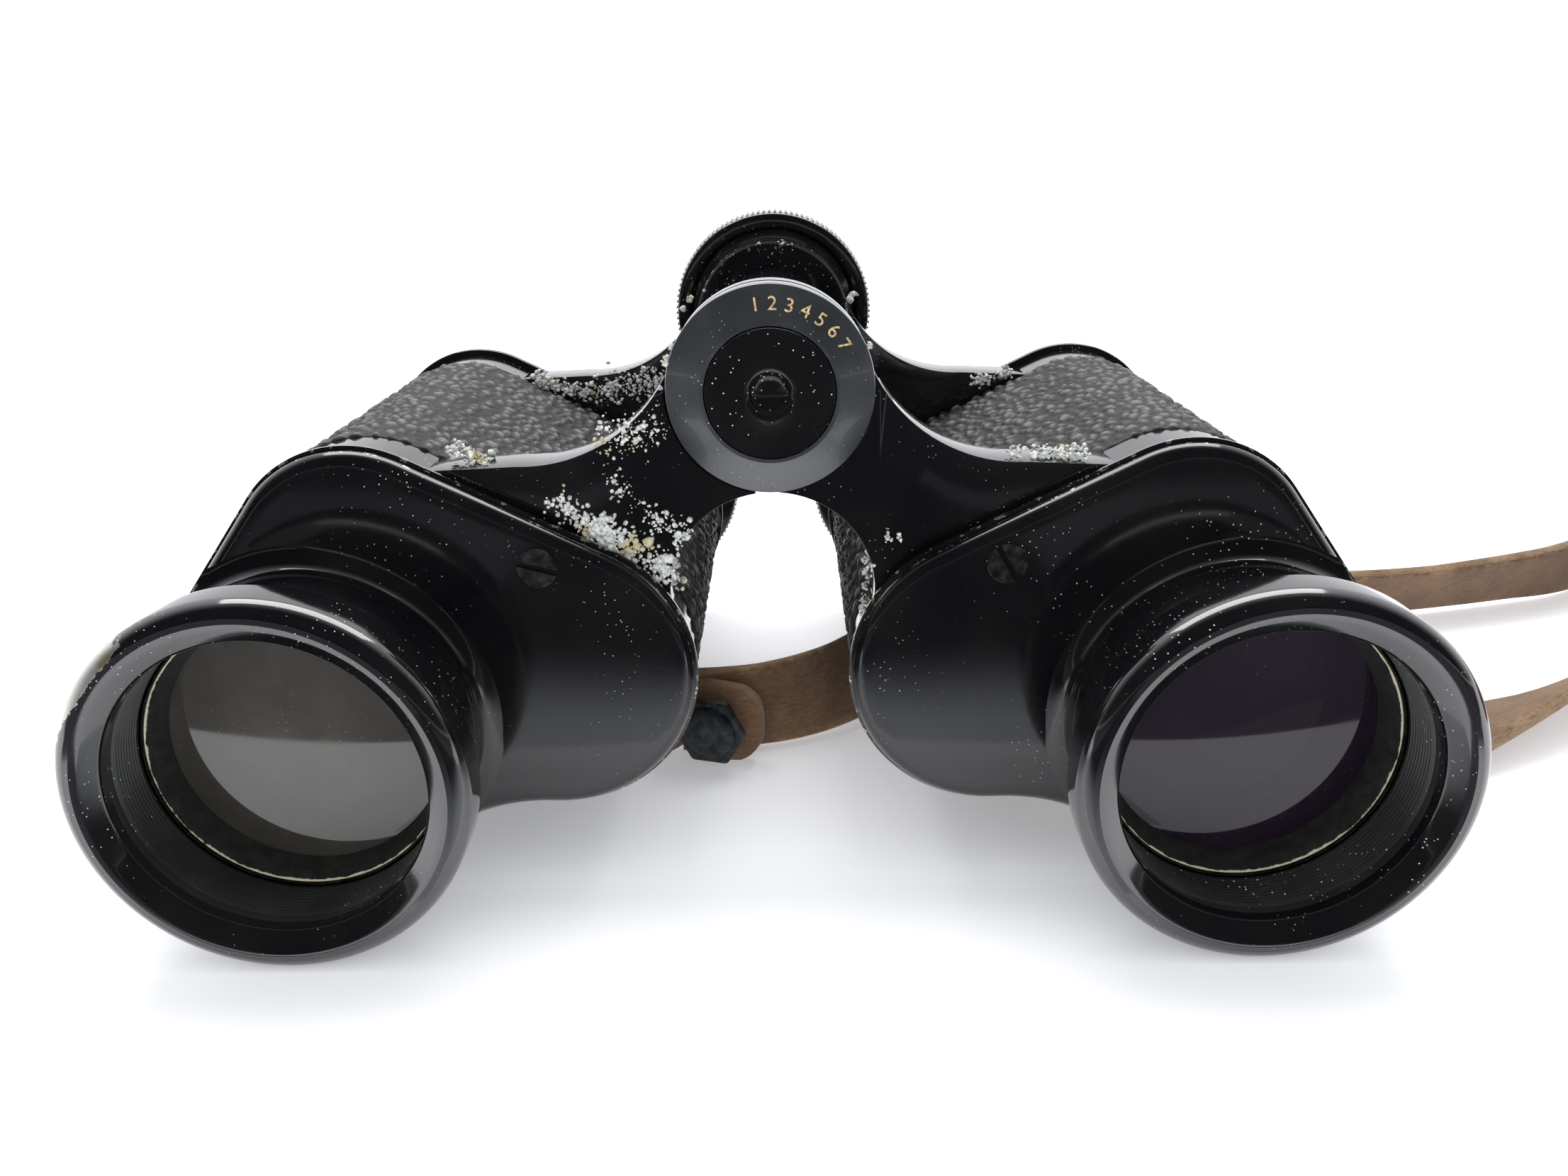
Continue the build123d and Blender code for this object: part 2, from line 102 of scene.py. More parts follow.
@dataclass(frozen=True)
class Datum:
    """Where the hinge axis runs in the frame, in millimetres."""

    height: float
    middle: float

    @classmethod
    def from_frame(cls, rim_front: float) -> "Datum":
        """Reads the axle's height and the rims' front from the CAD boxes.

        Args:
            rim_front: the station of the rims' front.

        Returns:
            The datum of this frame.
        """
        low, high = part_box("hinge_axle")
        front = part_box("right_objective_bezel")[0].y / MM
        return cls((low.z + high.z) / 2 / MM, rim_front - front)

    def metres(self, points: np.ndarray) -> np.ndarray:
        """Turns rows of x, station and z into the frame's metres."""
        return (np.asarray(points, float) + [0.0, -self.middle, self.height]) * MM

    def at(self, x: float, station: float, z: float) -> Vector:
        """One point in the frame's metres."""
        return Vector(self.metres(np.array([x, station, z])))


RIM_FRONT = -1.6
DATUM = Datum(0.0, 0.0)


# ---- Shader writing ------------------------------------------------------------------
class Value:
    """A shader socket that adds its Math nodes when it is used in an expression."""

    def __init__(self, painter: "Painter", socket: bpy.types.NodeSocket) -> None:
        """Wraps one output socket of a painter's tree."""
        self.painter = painter
        self.socket = socket

    def _math(self, operation: str, left: object, right: object = 0.0) -> "Value":
        """Adds one Math node."""
        return self.painter.node("ShaderNodeMath", {"operation": operation}, {0: left, 1: right})

    def __add__(self, other: object) -> "Value":
        """Adds."""
        return self._math("ADD", self, other)

    __radd__ = __add__

    def __mul__(self, other: object) -> "Value":
        """Multiplies."""
        return self._math("MULTIPLY", self, other)

    __rmul__ = __mul__

    def __sub__(self, other: object) -> "Value":
        """Subtracts."""
        return self._math("SUBTRACT", self, other)

    def __rsub__(self, other: object) -> "Value":
        """Subtracts from a number."""
        return self._math("SUBTRACT", other, self)

    def __pow__(self, other: object) -> "Value":
        """Raises to a power."""
        return self._math("POWER", self, other)

    def above(self, other: object) -> "Value":
        """1 where the value is greater."""
        return self._math("GREATER_THAN", self, other)

    def most(self, other: object) -> "Value":
        """The larger of two values."""
        return self._math("MAXIMUM", self, other)

    def ramp(self, low: float, high: float) -> "Value":
        """A smooth step from 0 at low to 1 at high; low may be the larger."""
        start, end = (low, high) if low < high else (high, low)
        to = {3: 0.0, 4: 1.0} if low < high else {3: 1.0, 4: 0.0}
        return self.painter.node(
            "ShaderNodeMapRange",
            {"interpolation_type": "SMOOTHSTEP"},
            {0: self, 1: start, 2: end, **to},
        )


class Painter:
    """Builds one material from a few kinds of node."""

    def __init__(self, name: str) -> None:
        """Starts a material with a Principled shader."""
        self.material = bpy.data.materials.new(name)
        self.material.use_nodes = True
        self.nodes = self.material.node_tree.nodes
        self.links = self.material.node_tree.links
        self.shader = self.nodes["Principled BSDF"]
        self.place = self.node("ShaderNodeTexCoord", {}, {}, "Object")

    def node(
        self,
        kind: str,
        settings: dict[str, object],
        inputs: dict[int | str, object],
        out: int | str = 0,
    ) -> Value:
        """Adds a node.

        Args:
            kind: the node's type.
            settings: properties set before its sockets are used.
            inputs: values or links by socket number or name.
            out: the output socket that is returned.

        Returns:
            The node's output.
        """
        node = self.nodes.new(kind)
        for key, setting in settings.items():
            setattr(node, key, setting)
        for key, given in inputs.items():
            self.feed(node.inputs[key], given)
        return Value(self, node.outputs[out])

    def feed(self, socket: bpy.types.NodeSocket, given: object) -> None:
        """Links a Value to a socket, or sets a plain value on it."""
        if isinstance(given, Value):
            self.links.new(given.socket, socket)
        else:
            socket.default_value = given

    def noise(
        self, scale: float, detail: float = 3.0, rough: float = 0.55, place: Value | None = None
    ) -> Value:
        """Noise with features of about 1 / scale metres."""
        inputs = {"Vector": place or self.place, "Scale": scale, "Detail": detail, "Roughness": rough}
        return self.node("ShaderNodeTexNoise", {}, inputs, 0)

    def cells(self, scale: float, feature: str = "F1") -> Value:
        """The distances of a Voronoi pattern with cells of about 1 / scale metres."""
        inputs = {"Vector": self.place, "Scale": scale}
        return self.node("ShaderNodeTexVoronoi", {"feature": feature}, inputs, "Distance")

    def attribute(self, name: str) -> Value:
        """A number that the mesh carries on its points."""
        return self.node("ShaderNodeAttribute", {"attribute_name": name}, {}, "Fac")

    def mix(self, share: object, first: object, second: object) -> Value:
        """A colour between two colours."""
        first, second = (v if isinstance(v, Value) else (*v, 1.0) for v in (first, second))
        return self.node("ShaderNodeMix", {"data_type": "RGBA"}, {0: share, 6: first, 7: second}, 2)

    def bump(self, height: Value, strength: float, depth: float) -> Value:
        """A normal from a height, with its depth in metres."""
        return self.node("ShaderNodeBump", {}, {"Strength": strength, "Distance": depth, "Height": height})

    def done(self, **sockets: object) -> bpy.types.Material:
        """Feeds the shader's sockets, whose names have underscores for spaces."""
        for name, given in sockets.items():
            given = (*given, 1.0) if isinstance(given, tuple) else given
            self.feed(self.shader.inputs[name.replace("_", " ")], given)
        return self.material


def dust_mask(painter: Painter, amount: float) -> Value:
    """Specks of pale dust, coarse and fine, thicker in some places.

    Args:
        painter: the material's painter.
        amount: 1 for the usual dust, more for a dustier surface.

    Returns:
        1 on a speck and 0 beside it.
    """
    patchy = painter.noise(70.0, 2.0)
    coarse = painter.cells(620.0)
    fine = painter.cells(1500.0)
    coarse_size = patchy.ramp(0.38, 0.72) * (0.05 * amount)
    fine_size = patchy.ramp(0.3, 0.75) * (0.12 * amount)
    return (coarse_size - coarse).above(0.0).most((fine_size - fine).above(0.0))


class Finish:
    """A finish that makes its material once and hands it out."""

    name = "finish"

    def paint(self, painter: Painter) -> bpy.types.Material:
        """Builds the material."""
        raise NotImplementedError

    @property
    def material(self) -> bpy.types.Material:
        """The finish's material."""
        if self not in FINISHES:
            FINISHES[self] = self.paint(Painter(self.name))
        return FINISHES[self]


FINISHES: dict[Finish, bpy.types.Material] = {}


@dataclass(frozen=True)
class Enamel(Finish):
    """Deep black gloss enamel with dust, and bare metal where the mesh says it is worn."""

    name: str = "black_enamel"
    gloss: float = 0.1
    dust: float = 1.0
    bare: tuple[float, float, float] = (0.72, 0.71, 0.66)
    ior: float = 1.6
    black: tuple[float, float, float] = (0.0035, 0.0037, 0.0045)
    dull: tuple[float, float, float] = (0.0075, 0.0078, 0.008)

    def paint(self, painter: Painter) -> bpy.types.Material:
        """Layers dust and wear over the black."""
        dust = dust_mask(painter, self.dust)
        broad = painter.noise(90.0, 4.0)
        fine = painter.noise(1500.0, 3.0)
        chips = painter.noise(900.0, 5.0, 0.7)
        wear = painter.attribute("wear")
        bare = (wear + (chips - 0.5) * 0.9).ramp(0.47, 0.53)
        faded = (wear * 0.6 + (broad - 0.5) * 0.5).ramp(0.15, 0.7)
        black = painter.mix(broad.ramp(0.3, 0.8), self.black, self.dull)
        black = painter.mix(faded * 0.5, black, (0.03, 0.028, 0.024))
        yellow = painter.noise(330.0, 2.0).ramp(0.55, 0.7)
        coloured = painter.mix(bare, black, painter.mix(yellow, self.bare, (0.6, 0.52, 0.3)))
        coloured = painter.mix(dust * 0.9, coloured, (0.72, 0.71, 0.68))
        rough = (broad - 0.4) * 0.12 + self.gloss + faded * 0.12 + bare * 0.22 + dust * 0.5
        height = fine * 0.15 + broad * 0.6 - bare * 1.2 + dust
        return painter.done(
            Base_Color=coloured,
            Roughness=rough,
            Metallic=bare,
            Normal=painter.bump(height, 0.12, 0.00012),
            IOR=self.ior,
            Coat_Weight=0.3,
            Coat_Roughness=0.03,
        )


@dataclass(frozen=True)
class Covering(Finish):
    """Pebbled black leather, greyer on the tops of the grain: partly wear, partly a painted highlight, with
    painted shade in the valleys.
    """

    name: str = "pebbled_leather"

    def paint(self, painter: Painter) -> bpy.types.Material:
        """Paints the grain's tops lighter and its valleys darker, as painted highlight and shade over some
        wear, and adds fine pores.
        """
        warp = painter.noise(600.0, 2.0)
        ridge = painter.cells(850.0, "DISTANCE_TO_EDGE")
        tops = painter.attribute("grain")
        broad = painter.noise(120.0, 4.0)
        fine = painter.noise(4200.0, 3.0)
        # Painted highlight and shade: the grain's tops are lighter and its valleys near black, over some wear
        # and random tone.
        painted_highlight_and_tone = tops**1.6 * 0.8 + (broad - 0.5) * 0.6 + (warp - 0.5) * 0.2
        colour = painter.mix(painted_highlight_and_tone.ramp(0.05, 0.95), (0.008, 0.0078, 0.0073), (0.12, 0.113, 0.103))
        dust = dust_mask(painter, 0.9)
        colour = painter.mix(dust * 0.6, colour, (0.3, 0.29, 0.27))
        rough = 0.66 - tops * 0.26 + (fine - 0.5) * 0.2
        height = ridge.ramp(0.0, 0.25) * 0.4 + fine * 0.5
        return painter.done(
            Base_Color=colour,
            Roughness=rough,
            Normal=painter.bump(height, 0.5, 0.00012),
        )


@dataclass(frozen=True)
class Glass(Finish):
    """Coated glass in front of a dark interior, filmed with age."""

    name: str = "objective_glass"
    tint: tuple[float, float, float] = (0.018, 0.012, 0.014)
    haze: tuple[float, float, float] = (0.05, 0.04, 0.045)
    ior: float = 1.75
    centre: tuple[float, float, float] | None = None
    hollow: float = 150.0
    tilt: float = 0.04

    def paint(self, painter: Painter) -> bpy.types.Material:
        """Adds film, specks and faint smears to a dark polished surface."""
        film = painter.noise(60.0, 4.0, 0.6)
        smear = painter.noise(350.0, 5.0, 0.7)
        dust = dust_mask(painter, 0.8)
        share = film.ramp(0.35, 0.75) * 0.7 + smear.ramp(0.5, 0.8) * 0.2
        colour = painter.mix(share, self.tint, self.haze)
        colour = painter.mix(dust * 0.5, colour, (0.4, 0.38, 0.4))
        shape = {} if self.centre is None else {"Normal": self.inner_normal(painter)}
        return painter.done(
            Base_Color=colour,
            Roughness=film.ramp(0.4, 0.8) * 0.04 + 0.02 + dust * 0.4,
            **shape,
            IOR=self.ior,
            Coat_Weight=0.06 if shape else 0.3,
            Coat_Roughness=0.02,
        )

    def inner_normal(self, painter: Painter) -> Value:
        """The normal of the cemented surface inside the lens, which is hollow towards the front."""
        x, station, z = self.centre or (0.0, 0.0, 0.0)
        middle = DATUM.at(x, station, z)
        off = painter.node("ShaderNodeVectorMath", {"operation": "SUBTRACT"}, {0: painter.place, 1: middle})
        scale = -1.0 / (self.hollow * MM)
        inward = painter.node(
            "ShaderNodeVectorMath", {"operation": "MULTIPLY_ADD"},
            {0: off, 1: (scale, 0.0, scale), 2: (0.0, -1.0, self.tilt)},
        )
        turned = painter.node(
            "ShaderNodeVectorTransform",
            {"vector_type": "VECTOR", "convert_from": "OBJECT", "convert_to": "WORLD"},
            {0: inward},
        )
        return painter.node("ShaderNodeVectorMath", {"operation": "NORMALIZE"}, {0: turned})


@dataclass(frozen=True)
class Metal(Finish):
    """Blackened or bare metal with scratches and tarnish."""

    name: str = "black_brass"
    dark: tuple[float, float, float] = (0.012, 0.011, 0.01)
    light: tuple[float, float, float] = (0.06, 0.05, 0.035)
    worn: tuple[float, float, float] = (0.55, 0.45, 0.25)
    metallic: float = 0.6
    rough: float = 0.38

    def paint(self, painter: Painter) -> bpy.types.Material:
        """Mottles the metal and bares it where the mesh says it is worn."""
        mottle = painter.noise(700.0, 5.0, 0.65)
        fine = painter.noise(3000.0, 3.0)
        wear = painter.attribute("wear")
        bare = (wear + (mottle - 0.5) * 0.9).ramp(0.42, 0.58)
        colour = painter.mix(mottle.ramp(0.35, 0.75), self.dark, self.light)
        colour = painter.mix(bare, colour, self.worn)
        return painter.done(
            Base_Color=colour,
            Roughness=self.rough + (mottle - 0.5) * 0.25,
            Metallic=self.metallic,
            Normal=painter.bump(mottle + fine * 0.3, 0.2, 0.0001),
        )


@dataclass(frozen=True)
class Suede(Finish):
    """Brown strap leather with a worn, napped face and darker handled stretches."""

    name: str = "strap_leather"
    dark: tuple[float, float, float] = (0.095, 0.05, 0.024)
    mid: tuple[float, float, float] = (0.22, 0.125, 0.06)
    light: tuple[float, float, float] = (0.36, 0.235, 0.125)

    def paint(self, painter: Painter) -> bpy.types.Material:
        """Mottles the leather and streaks it along its length."""
        along = painter.node("ShaderNodeUVMap", {"uv_map": "strap"}, {})
        stretched = painter.node(
            "ShaderNodeMapping", {}, {"Vector": along, "Scale": (0.25, 1.0, 1.0)}
        )
        fibre = painter.noise(2600.0, 4.0, 0.7, stretched)
        nap = painter.noise(5200.0, 4.0, 0.7)
        blotch = painter.noise(160.0, 5.0, 0.6)
        edge = painter.attribute("wear")
        tone = blotch * 0.45 + (fibre - 0.5) * 0.55 + (nap - 0.5) * 0.4 + 0.13
        colour = painter.mix(tone.ramp(0.15, 0.5), self.dark, self.mid)
        colour = painter.mix((tone + edge * 0.25).ramp(0.45, 0.85), colour, self.light)
        return painter.done(
            Base_Color=colour,
            Roughness=0.8 + (nap - 0.5) * 0.25,
            Normal=painter.bump(nap * 0.6 + fibre * 0.5 + blotch * 0.5, 0.55, 0.0003),
            Sheen_Weight=0.15,
        )


@dataclass(frozen=True)
class Bloom(Finish):
    """White and yellowish crystals of corrosion."""

    name: str = "corrosion_bloom"

    def paint(self, painter: Painter) -> bpy.types.Material:
        """Varies the crystals from white through grey to yellow."""
        broad = painter.noise(260.0, 3.0)
        fine = painter.noise(2400.0, 3.0)
        colour = painter.mix(fine.ramp(0.3, 0.7), (0.36, 0.38, 0.36), (0.88, 0.89, 0.85))
        colour = painter.mix(broad.ramp(0.52, 0.66) * 0.75, colour, (0.5, 0.4, 0.17))
        return painter.done(Base_Color=colour, Roughness=0.55 + fine * 0.3)


@dataclass(frozen=True)
class Paint(Finish):
    """Old gold paint in engraved figures."""

    name: str = "gold_figures"

    def paint(self, painter: Painter) -> bpy.types.Material:
        """Breaks the gold up a little."""
        fine = painter.noise(4000.0, 3.0)
        colour = painter.mix(fine.ramp(0.35, 0.7), (0.35, 0.24, 0.1), (0.78, 0.62, 0.33))
        return painter.done(Base_Color=colour, Roughness=0.5)


ENAMEL = Enamel()
SATIN = Enamel("black_satin", 0.3, 0.5)
LEATHER = Covering()
# Painted reflection: the left lens gets a lighter tint and haze than the right one, standing in for the
# brighter reflection it gives back.
LEFT_GLASS = Glass(
    "left_objective_glass", (0.045, 0.041, 0.034), (0.09, 0.082, 0.07), centre=(-51.8, 12.0, -36.7)
)
RIGHT_GLASS = Glass(
    "right_objective_glass", (0.012, 0.007, 0.013), (0.026, 0.017, 0.03), 1.5, (51.8, 12.0, -36.7)
)
EYE_GLASS = Glass("eye_lens_glass", (0.01, 0.01, 0.014), (0.03, 0.032, 0.04))
PRISM_GLASS = Glass("prism_glass", (0.4, 0.44, 0.44), (0.5, 0.54, 0.53), 1.55)
RIM = Enamel("rim_enamel", 0.09, ior=1.9)
THREAD = Enamel("thread_enamel", 0.42, 1.4, black=(0.018, 0.02, 0.018), dull=(0.04, 0.043, 0.038))
CAP = Enamel("cap_enamel", 0.16)
# Painted sheen: the disc's black is greyer and bluer than the other enamel, to lighten the cone as a
# reflection would.
DISC = Enamel("disc_enamel", 0.26, 0.8, ior=2.0, black=(0.02, 0.023, 0.027), dull=(0.045, 0.05, 0.056))
BRASS = Metal()
RING = Metal("lens_ring", (0.02, 0.022, 0.02), (0.042, 0.043, 0.037), (0.9, 0.84, 0.6), 0.1, 0.5)
STEEL = Metal("black_steel", (0.012, 0.012, 0.013), (0.07, 0.07, 0.072), (0.4, 0.4, 0.42), rough=0.24)
SPRING = Metal("spring_brass", (0.4, 0.3, 0.12), (0.6, 0.46, 0.2), (0.7, 0.55, 0.25), 1.0, 0.3)
STUD = Metal("dark_stud", (0.009, 0.0105, 0.012), (0.05, 0.054, 0.058), (0.22, 0.24, 0.25), 0.5, 0.42)
STRAP = Suede()
TAB = Suede("tab_leather", (0.13, 0.068, 0.034), (0.24, 0.135, 0.07), (0.4, 0.26, 0.15))
BLOOM = Bloom()
GOLD = Paint()


# ---- Mesh writing --------------------------------------------------------------------
def rounded(
    points: Sequence[Point], radii: dict[int, float], steps: int = 5, closed: bool = True
) -> list[Point]:
    """Rounds corners of an outline with arcs.

    Args:
        points: the corners.
        radii: a corner's radius by its number; other corners stay sharp.
        steps: straight pieces in each arc.
        closed: whether the last corner joins the first.

    Returns:
        The outline with its arcs.
    """
    made: list[Point] = []
    count = len(points)
    for i, corner in enumerate(points):
        radius = radii.get(i, 0.0)
        if radius == 0.0 or (not closed and i in (0, count - 1)):
            made.append(corner)
            continue
        here = Vector(corner)
        back = (Vector(points[i - 1]) - here).normalized()
        on = (Vector(points[(i + 1) % count]) - here).normalized()
        half = back.angle(on) / 2
        centre = here + (back + on).normalized() * (radius / math.sin(half))
        start = here + back * (radius / math.tan(half)) - centre
        end = here + on * (radius / math.tan(half)) - centre
        turn = start.angle_signed(end)
        for k in range(steps + 1):
            arm = Matrix.Rotation(-turn * k / steps, 2) @ start
            made.append((centre.x + arm.x, centre.y + arm.y))
    return made


def linked(name: str, data: bpy.types.ID) -> bpy.types.Object:
    """Makes an object of some data and links it to the scene."""
    made = bpy.data.objects.new(name, data)
    bpy.context.scene.collection.objects.link(made)
    return made


def new_mesh(
    name: str, points: Iterable[Sequence[float]], faces: Iterable[Sequence[int]], material: bpy.types.Material
) -> bpy.types.Mesh:
    """A mesh in one material from points in metres and the faces' corners."""
    mesh = bpy.data.meshes.new(name)
    mesh.from_pydata([tuple(p) for p in points], [], [tuple(f) for f in faces])
    mesh.materials.append(material)
    return mesh


def evaluated_mesh(made: bpy.types.Object) -> bpy.types.Mesh:
    """A plain mesh of an object as its modifiers or its curve leave it."""
    graph = bpy.context.evaluated_depsgraph_get()
    graph.update()
    return bpy.data.meshes.new_from_object(made.evaluated_get(graph), depsgraph=graph)


def turn_outward(mesh: bpy.types.Mesh, merge: bool = False) -> None:
    """Works a closed mesh's normals out afresh, after merging its doubled points if asked."""
    work = bmesh.new()
    work.from_mesh(mesh)
    if merge:
        bmesh.ops.remove_doubles(work, verts=work.verts, dist=1e-7)
    bmesh.ops.recalc_face_normals(work, faces=work.faces)
    work.to_mesh(mesh)
    work.free()


def bands(n: int, rows: int, first: int = 0, loop: bool = False) -> list[tuple[int, ...]]:
    """Faces between neighbouring rings.

    Args:
        n: the points in each ring.
        rows: how many rings there are.
        first: the number of the first ring's first point.
        loop: whether the last ring is joined to the first.

    Returns:
        The faces' corners by number.
    """
    faces: list[tuple[int, ...]] = []
    for k in range(rows if loop else rows - 1):
        a, b = first + k * n, first + (k + 1) % rows * n
        faces += [(a + i, b + i, b + (i + 1) % n, a + (i + 1) % n) for i in range(n)]
    return faces


def lids(n: int, rows: int, first: int = 0) -> list[tuple[int, ...]]:
    """The faces that fill the first and the last of some rings of n points."""
    last = first + (rows - 1) * n
    return [tuple(range(first, first + n)), tuple(reversed(range(last, last + n)))]


def circle(centre: Point, radius: float, angles: Iterable[float]) -> list[Point]:
    """Points on a circle at the given angles in radians."""
    return [(centre[0] + radius * math.cos(a), centre[1] + radius * math.sin(a)) for a in angles]


def make_object(
    name: str,
    points: np.ndarray,
    faces: Iterable[Sequence[int]],
    finish: Finish,
    wear: np.ndarray | None = None,
    sharp: float = 38.0,
    close: bool = True,
) -> bpy.types.Object:
    """Makes an object from points in millimetres about the hinge axis.

    Args:
        name: the object's name.
        points: rows of x, station and z.
        faces: the corners of each face.
        finish: what it is finished in.
        wear: how worn each point is, from 0 to 1.
        sharp: the angle in degrees past which an edge is sharp.
        close: whether the shells are closed, so that their normals are worked out afresh.

    Returns:
        The new object, linked to the scene.
    """
    mesh = new_mesh(name, DATUM.metres(points), faces, finish.material)
    if wear is not None:
        layer = mesh.attributes.new("wear", "FLOAT", "POINT")
        layer.data.foreach_set("value", np.asarray(wear, np.float32))
    if close:
        turn_outward(mesh)
    mesh.shade_smooth()
    mesh.set_sharp_from_angle(angle=math.radians(sharp))
    return linked(name, mesh)


@dataclass
class Shells:
    """Points and faces of several closed shells that end up in one mesh."""

    points: list[np.ndarray]
    faces: list[tuple[int, ...]]
    wear: list[np.ndarray]
    count: int = 0

    @classmethod
    def empty(cls) -> "Shells":
        """Shells with nothing in them yet."""
        return cls([], [], [])

    def add(self, points: np.ndarray, faces: Iterable[Sequence[int]], wear: np.ndarray | float = 0.0) -> None:
        """Adds one shell's points, its faces by their numbers within it, and its wear."""
        self.points.append(np.asarray(points, float))
        self.faces += [tuple(i + self.count for i in face) for face in faces]
        self.wear.append(np.broadcast_to(np.asarray(wear, float), (len(points),)))
        self.count += len(points)

    def turn(
        self,
        centre: Point,
        profile: Sequence[Point],
        segments: int = 128,
        wear: WearRule | None = None,
    ) -> None:
        """Turns a profile of (radius, station) about an axis along the barrels.

        Args:
            centre: x and z of the axis.
            profile: a closed profile, or one that starts and ends on the axis.
            segments: how many faces go round.
            wear: the wear from each point's radius, station and angle.
        """
        turn = np.linspace(0, 2 * np.pi, segments, endpoint=False)
        points: list[list[float]] = []
        starts: list[tuple[int, int]] = []
        for radius, station in profile:
            starts.append((len(points), 1 if radius == 0 else segments))
            angles = turn[:1] if radius == 0 else turn
            points += [[x, station, z] for x, z in circle(centre, radius, angles)]
        faces = []
        open_ended = profile[0][0] == 0 and profile[-1][0] == 0
        pairs = zip(starts, starts[1:] if open_ended else starts[1:] + starts[:1])
        for (a, a_count), (b, b_count) in pairs:
            for i in range(segments):
                j = (i + 1) % segments
                if a_count == 1:
                    faces.append((a, b + i, b + j))
                elif b_count == 1:
                    faces.append((a + i, b, a + j))
                else:
                    faces.append((a + i, b + i, b + j, a + j))
        placed = np.array(points)
        worn: np.ndarray | float = 0.0
        if wear is not None:
            dx, dz = placed[:, 0] - centre[0], placed[:, 2] - centre[1]
            worn = wear(np.hypot(dx, dz), placed[:, 1], np.degrees(np.arctan2(dz, dx)))
        self.add(placed, faces, worn)

    def loft(self, rings: Rings, cap: bool, wear: np.ndarray | float = 0.0) -> None:
        """Joins rings of equal length one after the other.

        Args:
            rings: the rings' points.
            cap: True to fill the first and last ring, False to join the last to the first.
            wear: the points' wear.
        """
        n, rows = len(rings[0]), len(rings)
        faces = bands(n, rows, loop=not cap) + (lids(n, rows) if cap else [])
        self.add(np.concatenate(rings), faces, wear)

    def mirrored(self, side: Side) -> "Shells":
        """The same shells on the other side, or as they are on the right."""
        if side is Side.RIGHT:
            return self
        flipped = [p * [-1, 1, 1] for p in self.points]
        return Shells(flipped, [tuple(reversed(f)) for f in self.faces], self.wear, self.count)

    def build(self, name: str, finish: Finish, sharp: float = 38.0) -> bpy.types.Object:
        """Makes the object."""
        points, wear = np.concatenate(self.points), np.concatenate(self.wear)
        return make_object(name, points, self.faces, finish, wear, sharp)


def settle(made: bpy.types.Object, body: str, replaced: Sequence[str]) -> bpy.types.Object:
    """Puts a piece on its body, hides the CAD nodes that it stands for and logs it.

    Args:
        made: the piece.
        body: the body it rides on.
        replaced: the CAD nodes that it stands for.

    Returns:
        The same piece.
    """
    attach(made, body)
    if replaced:
        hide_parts(*replaced)
    LOG.info("%s rides on %s", made.name, body)
    return made


def bevelled(made: bpy.types.Object, width: float, steps: int = 3, angle: float = 40.0) -> bpy.types.Object:
    """Rounds a piece's sharp edges for good; width is in millimetres."""
    modifier = made.modifiers.new("Edges", "BEVEL")
    modifier.width = width * MM
    modifier.segments = steps
    modifier.limit_method = "ANGLE"
    modifier.angle_limit = math.radians(angle)
    modifier.harden_normals = False
    freeze(made)
    made.data.shade_smooth()
    made.data.set_sharp_from_angle(angle=math.radians(40))
    return made


def freeze(made: bpy.types.Object) -> None:
    """Turns a piece's modifiers into a plain mesh and removes them."""
    mesh = evaluated_mesh(made)
    mesh.name = made.name
    made.modifiers.clear()
    made.data = mesh


# ---- Geometry Nodes ------------------------------------------------------------------
class Tree:
    """A Geometry Nodes group with named inputs."""

    def __init__(self, name: str) -> None:
        """Starts a group that takes and gives geometry."""
        self.group = bpy.data.node_groups.new(name, "GeometryNodeTree")
        self.group.interface.new_socket("Geometry", in_out="INPUT", socket_type="NodeSocketGeometry")
        self.group.interface.new_socket("Geometry", in_out="OUTPUT", socket_type="NodeSocketGeometry")
        self.given = self.group.nodes.new("NodeGroupInput")
        self.result = self.group.nodes.new("NodeGroupOutput")

    def input(self, name: str, kind: str) -> bpy.types.NodeSocket:
        """Adds a named input and returns its socket inside the group."""
        self.group.interface.new_socket(name, in_out="INPUT", socket_type=kind)
        return self.given.outputs[name]

    def node(self, kind: str, inputs: dict[int | str, object], **settings: object) -> bpy.types.Node:
        """Adds a node whose inputs are values or sockets."""
        node = self.group.nodes.new(kind)
        for key, setting in settings.items():
            setattr(node, key, setting)
        for key, given in inputs.items():
            if isinstance(given, bpy.types.NodeSocket):
                self.group.links.new(given, node.inputs[key])
            else:
                node.inputs[key].default_value = given
        return node

    def end(self, geometry: bpy.types.NodeSocket, material: bpy.types.Material) -> None:
        """Ends the group in Realize Instances and Set Material."""
        real = self.node("GeometryNodeRealizeInstances", {"Geometry": geometry})
        painted = self.node("GeometryNodeSetMaterial", {"Geometry": real.outputs[0], "Material": material})
        self.group.links.new(painted.outputs[0], self.result.inputs[0])

    def run(self, made: bpy.types.Object, values: dict[str, object]) -> bpy.types.Object:
        """Runs the group on an object with the given inputs and keeps the result as its mesh."""
        modifier = made.modifiers.new(self.group.name, "NODES")
        modifier.node_group = self.group
        for item in self.group.interface.items_tree:
            if item.item_type == "SOCKET" and item.in_out == "INPUT" and item.name in values:
                modifier[item.identifier] = values[item.name]
        freeze(made)
        return made


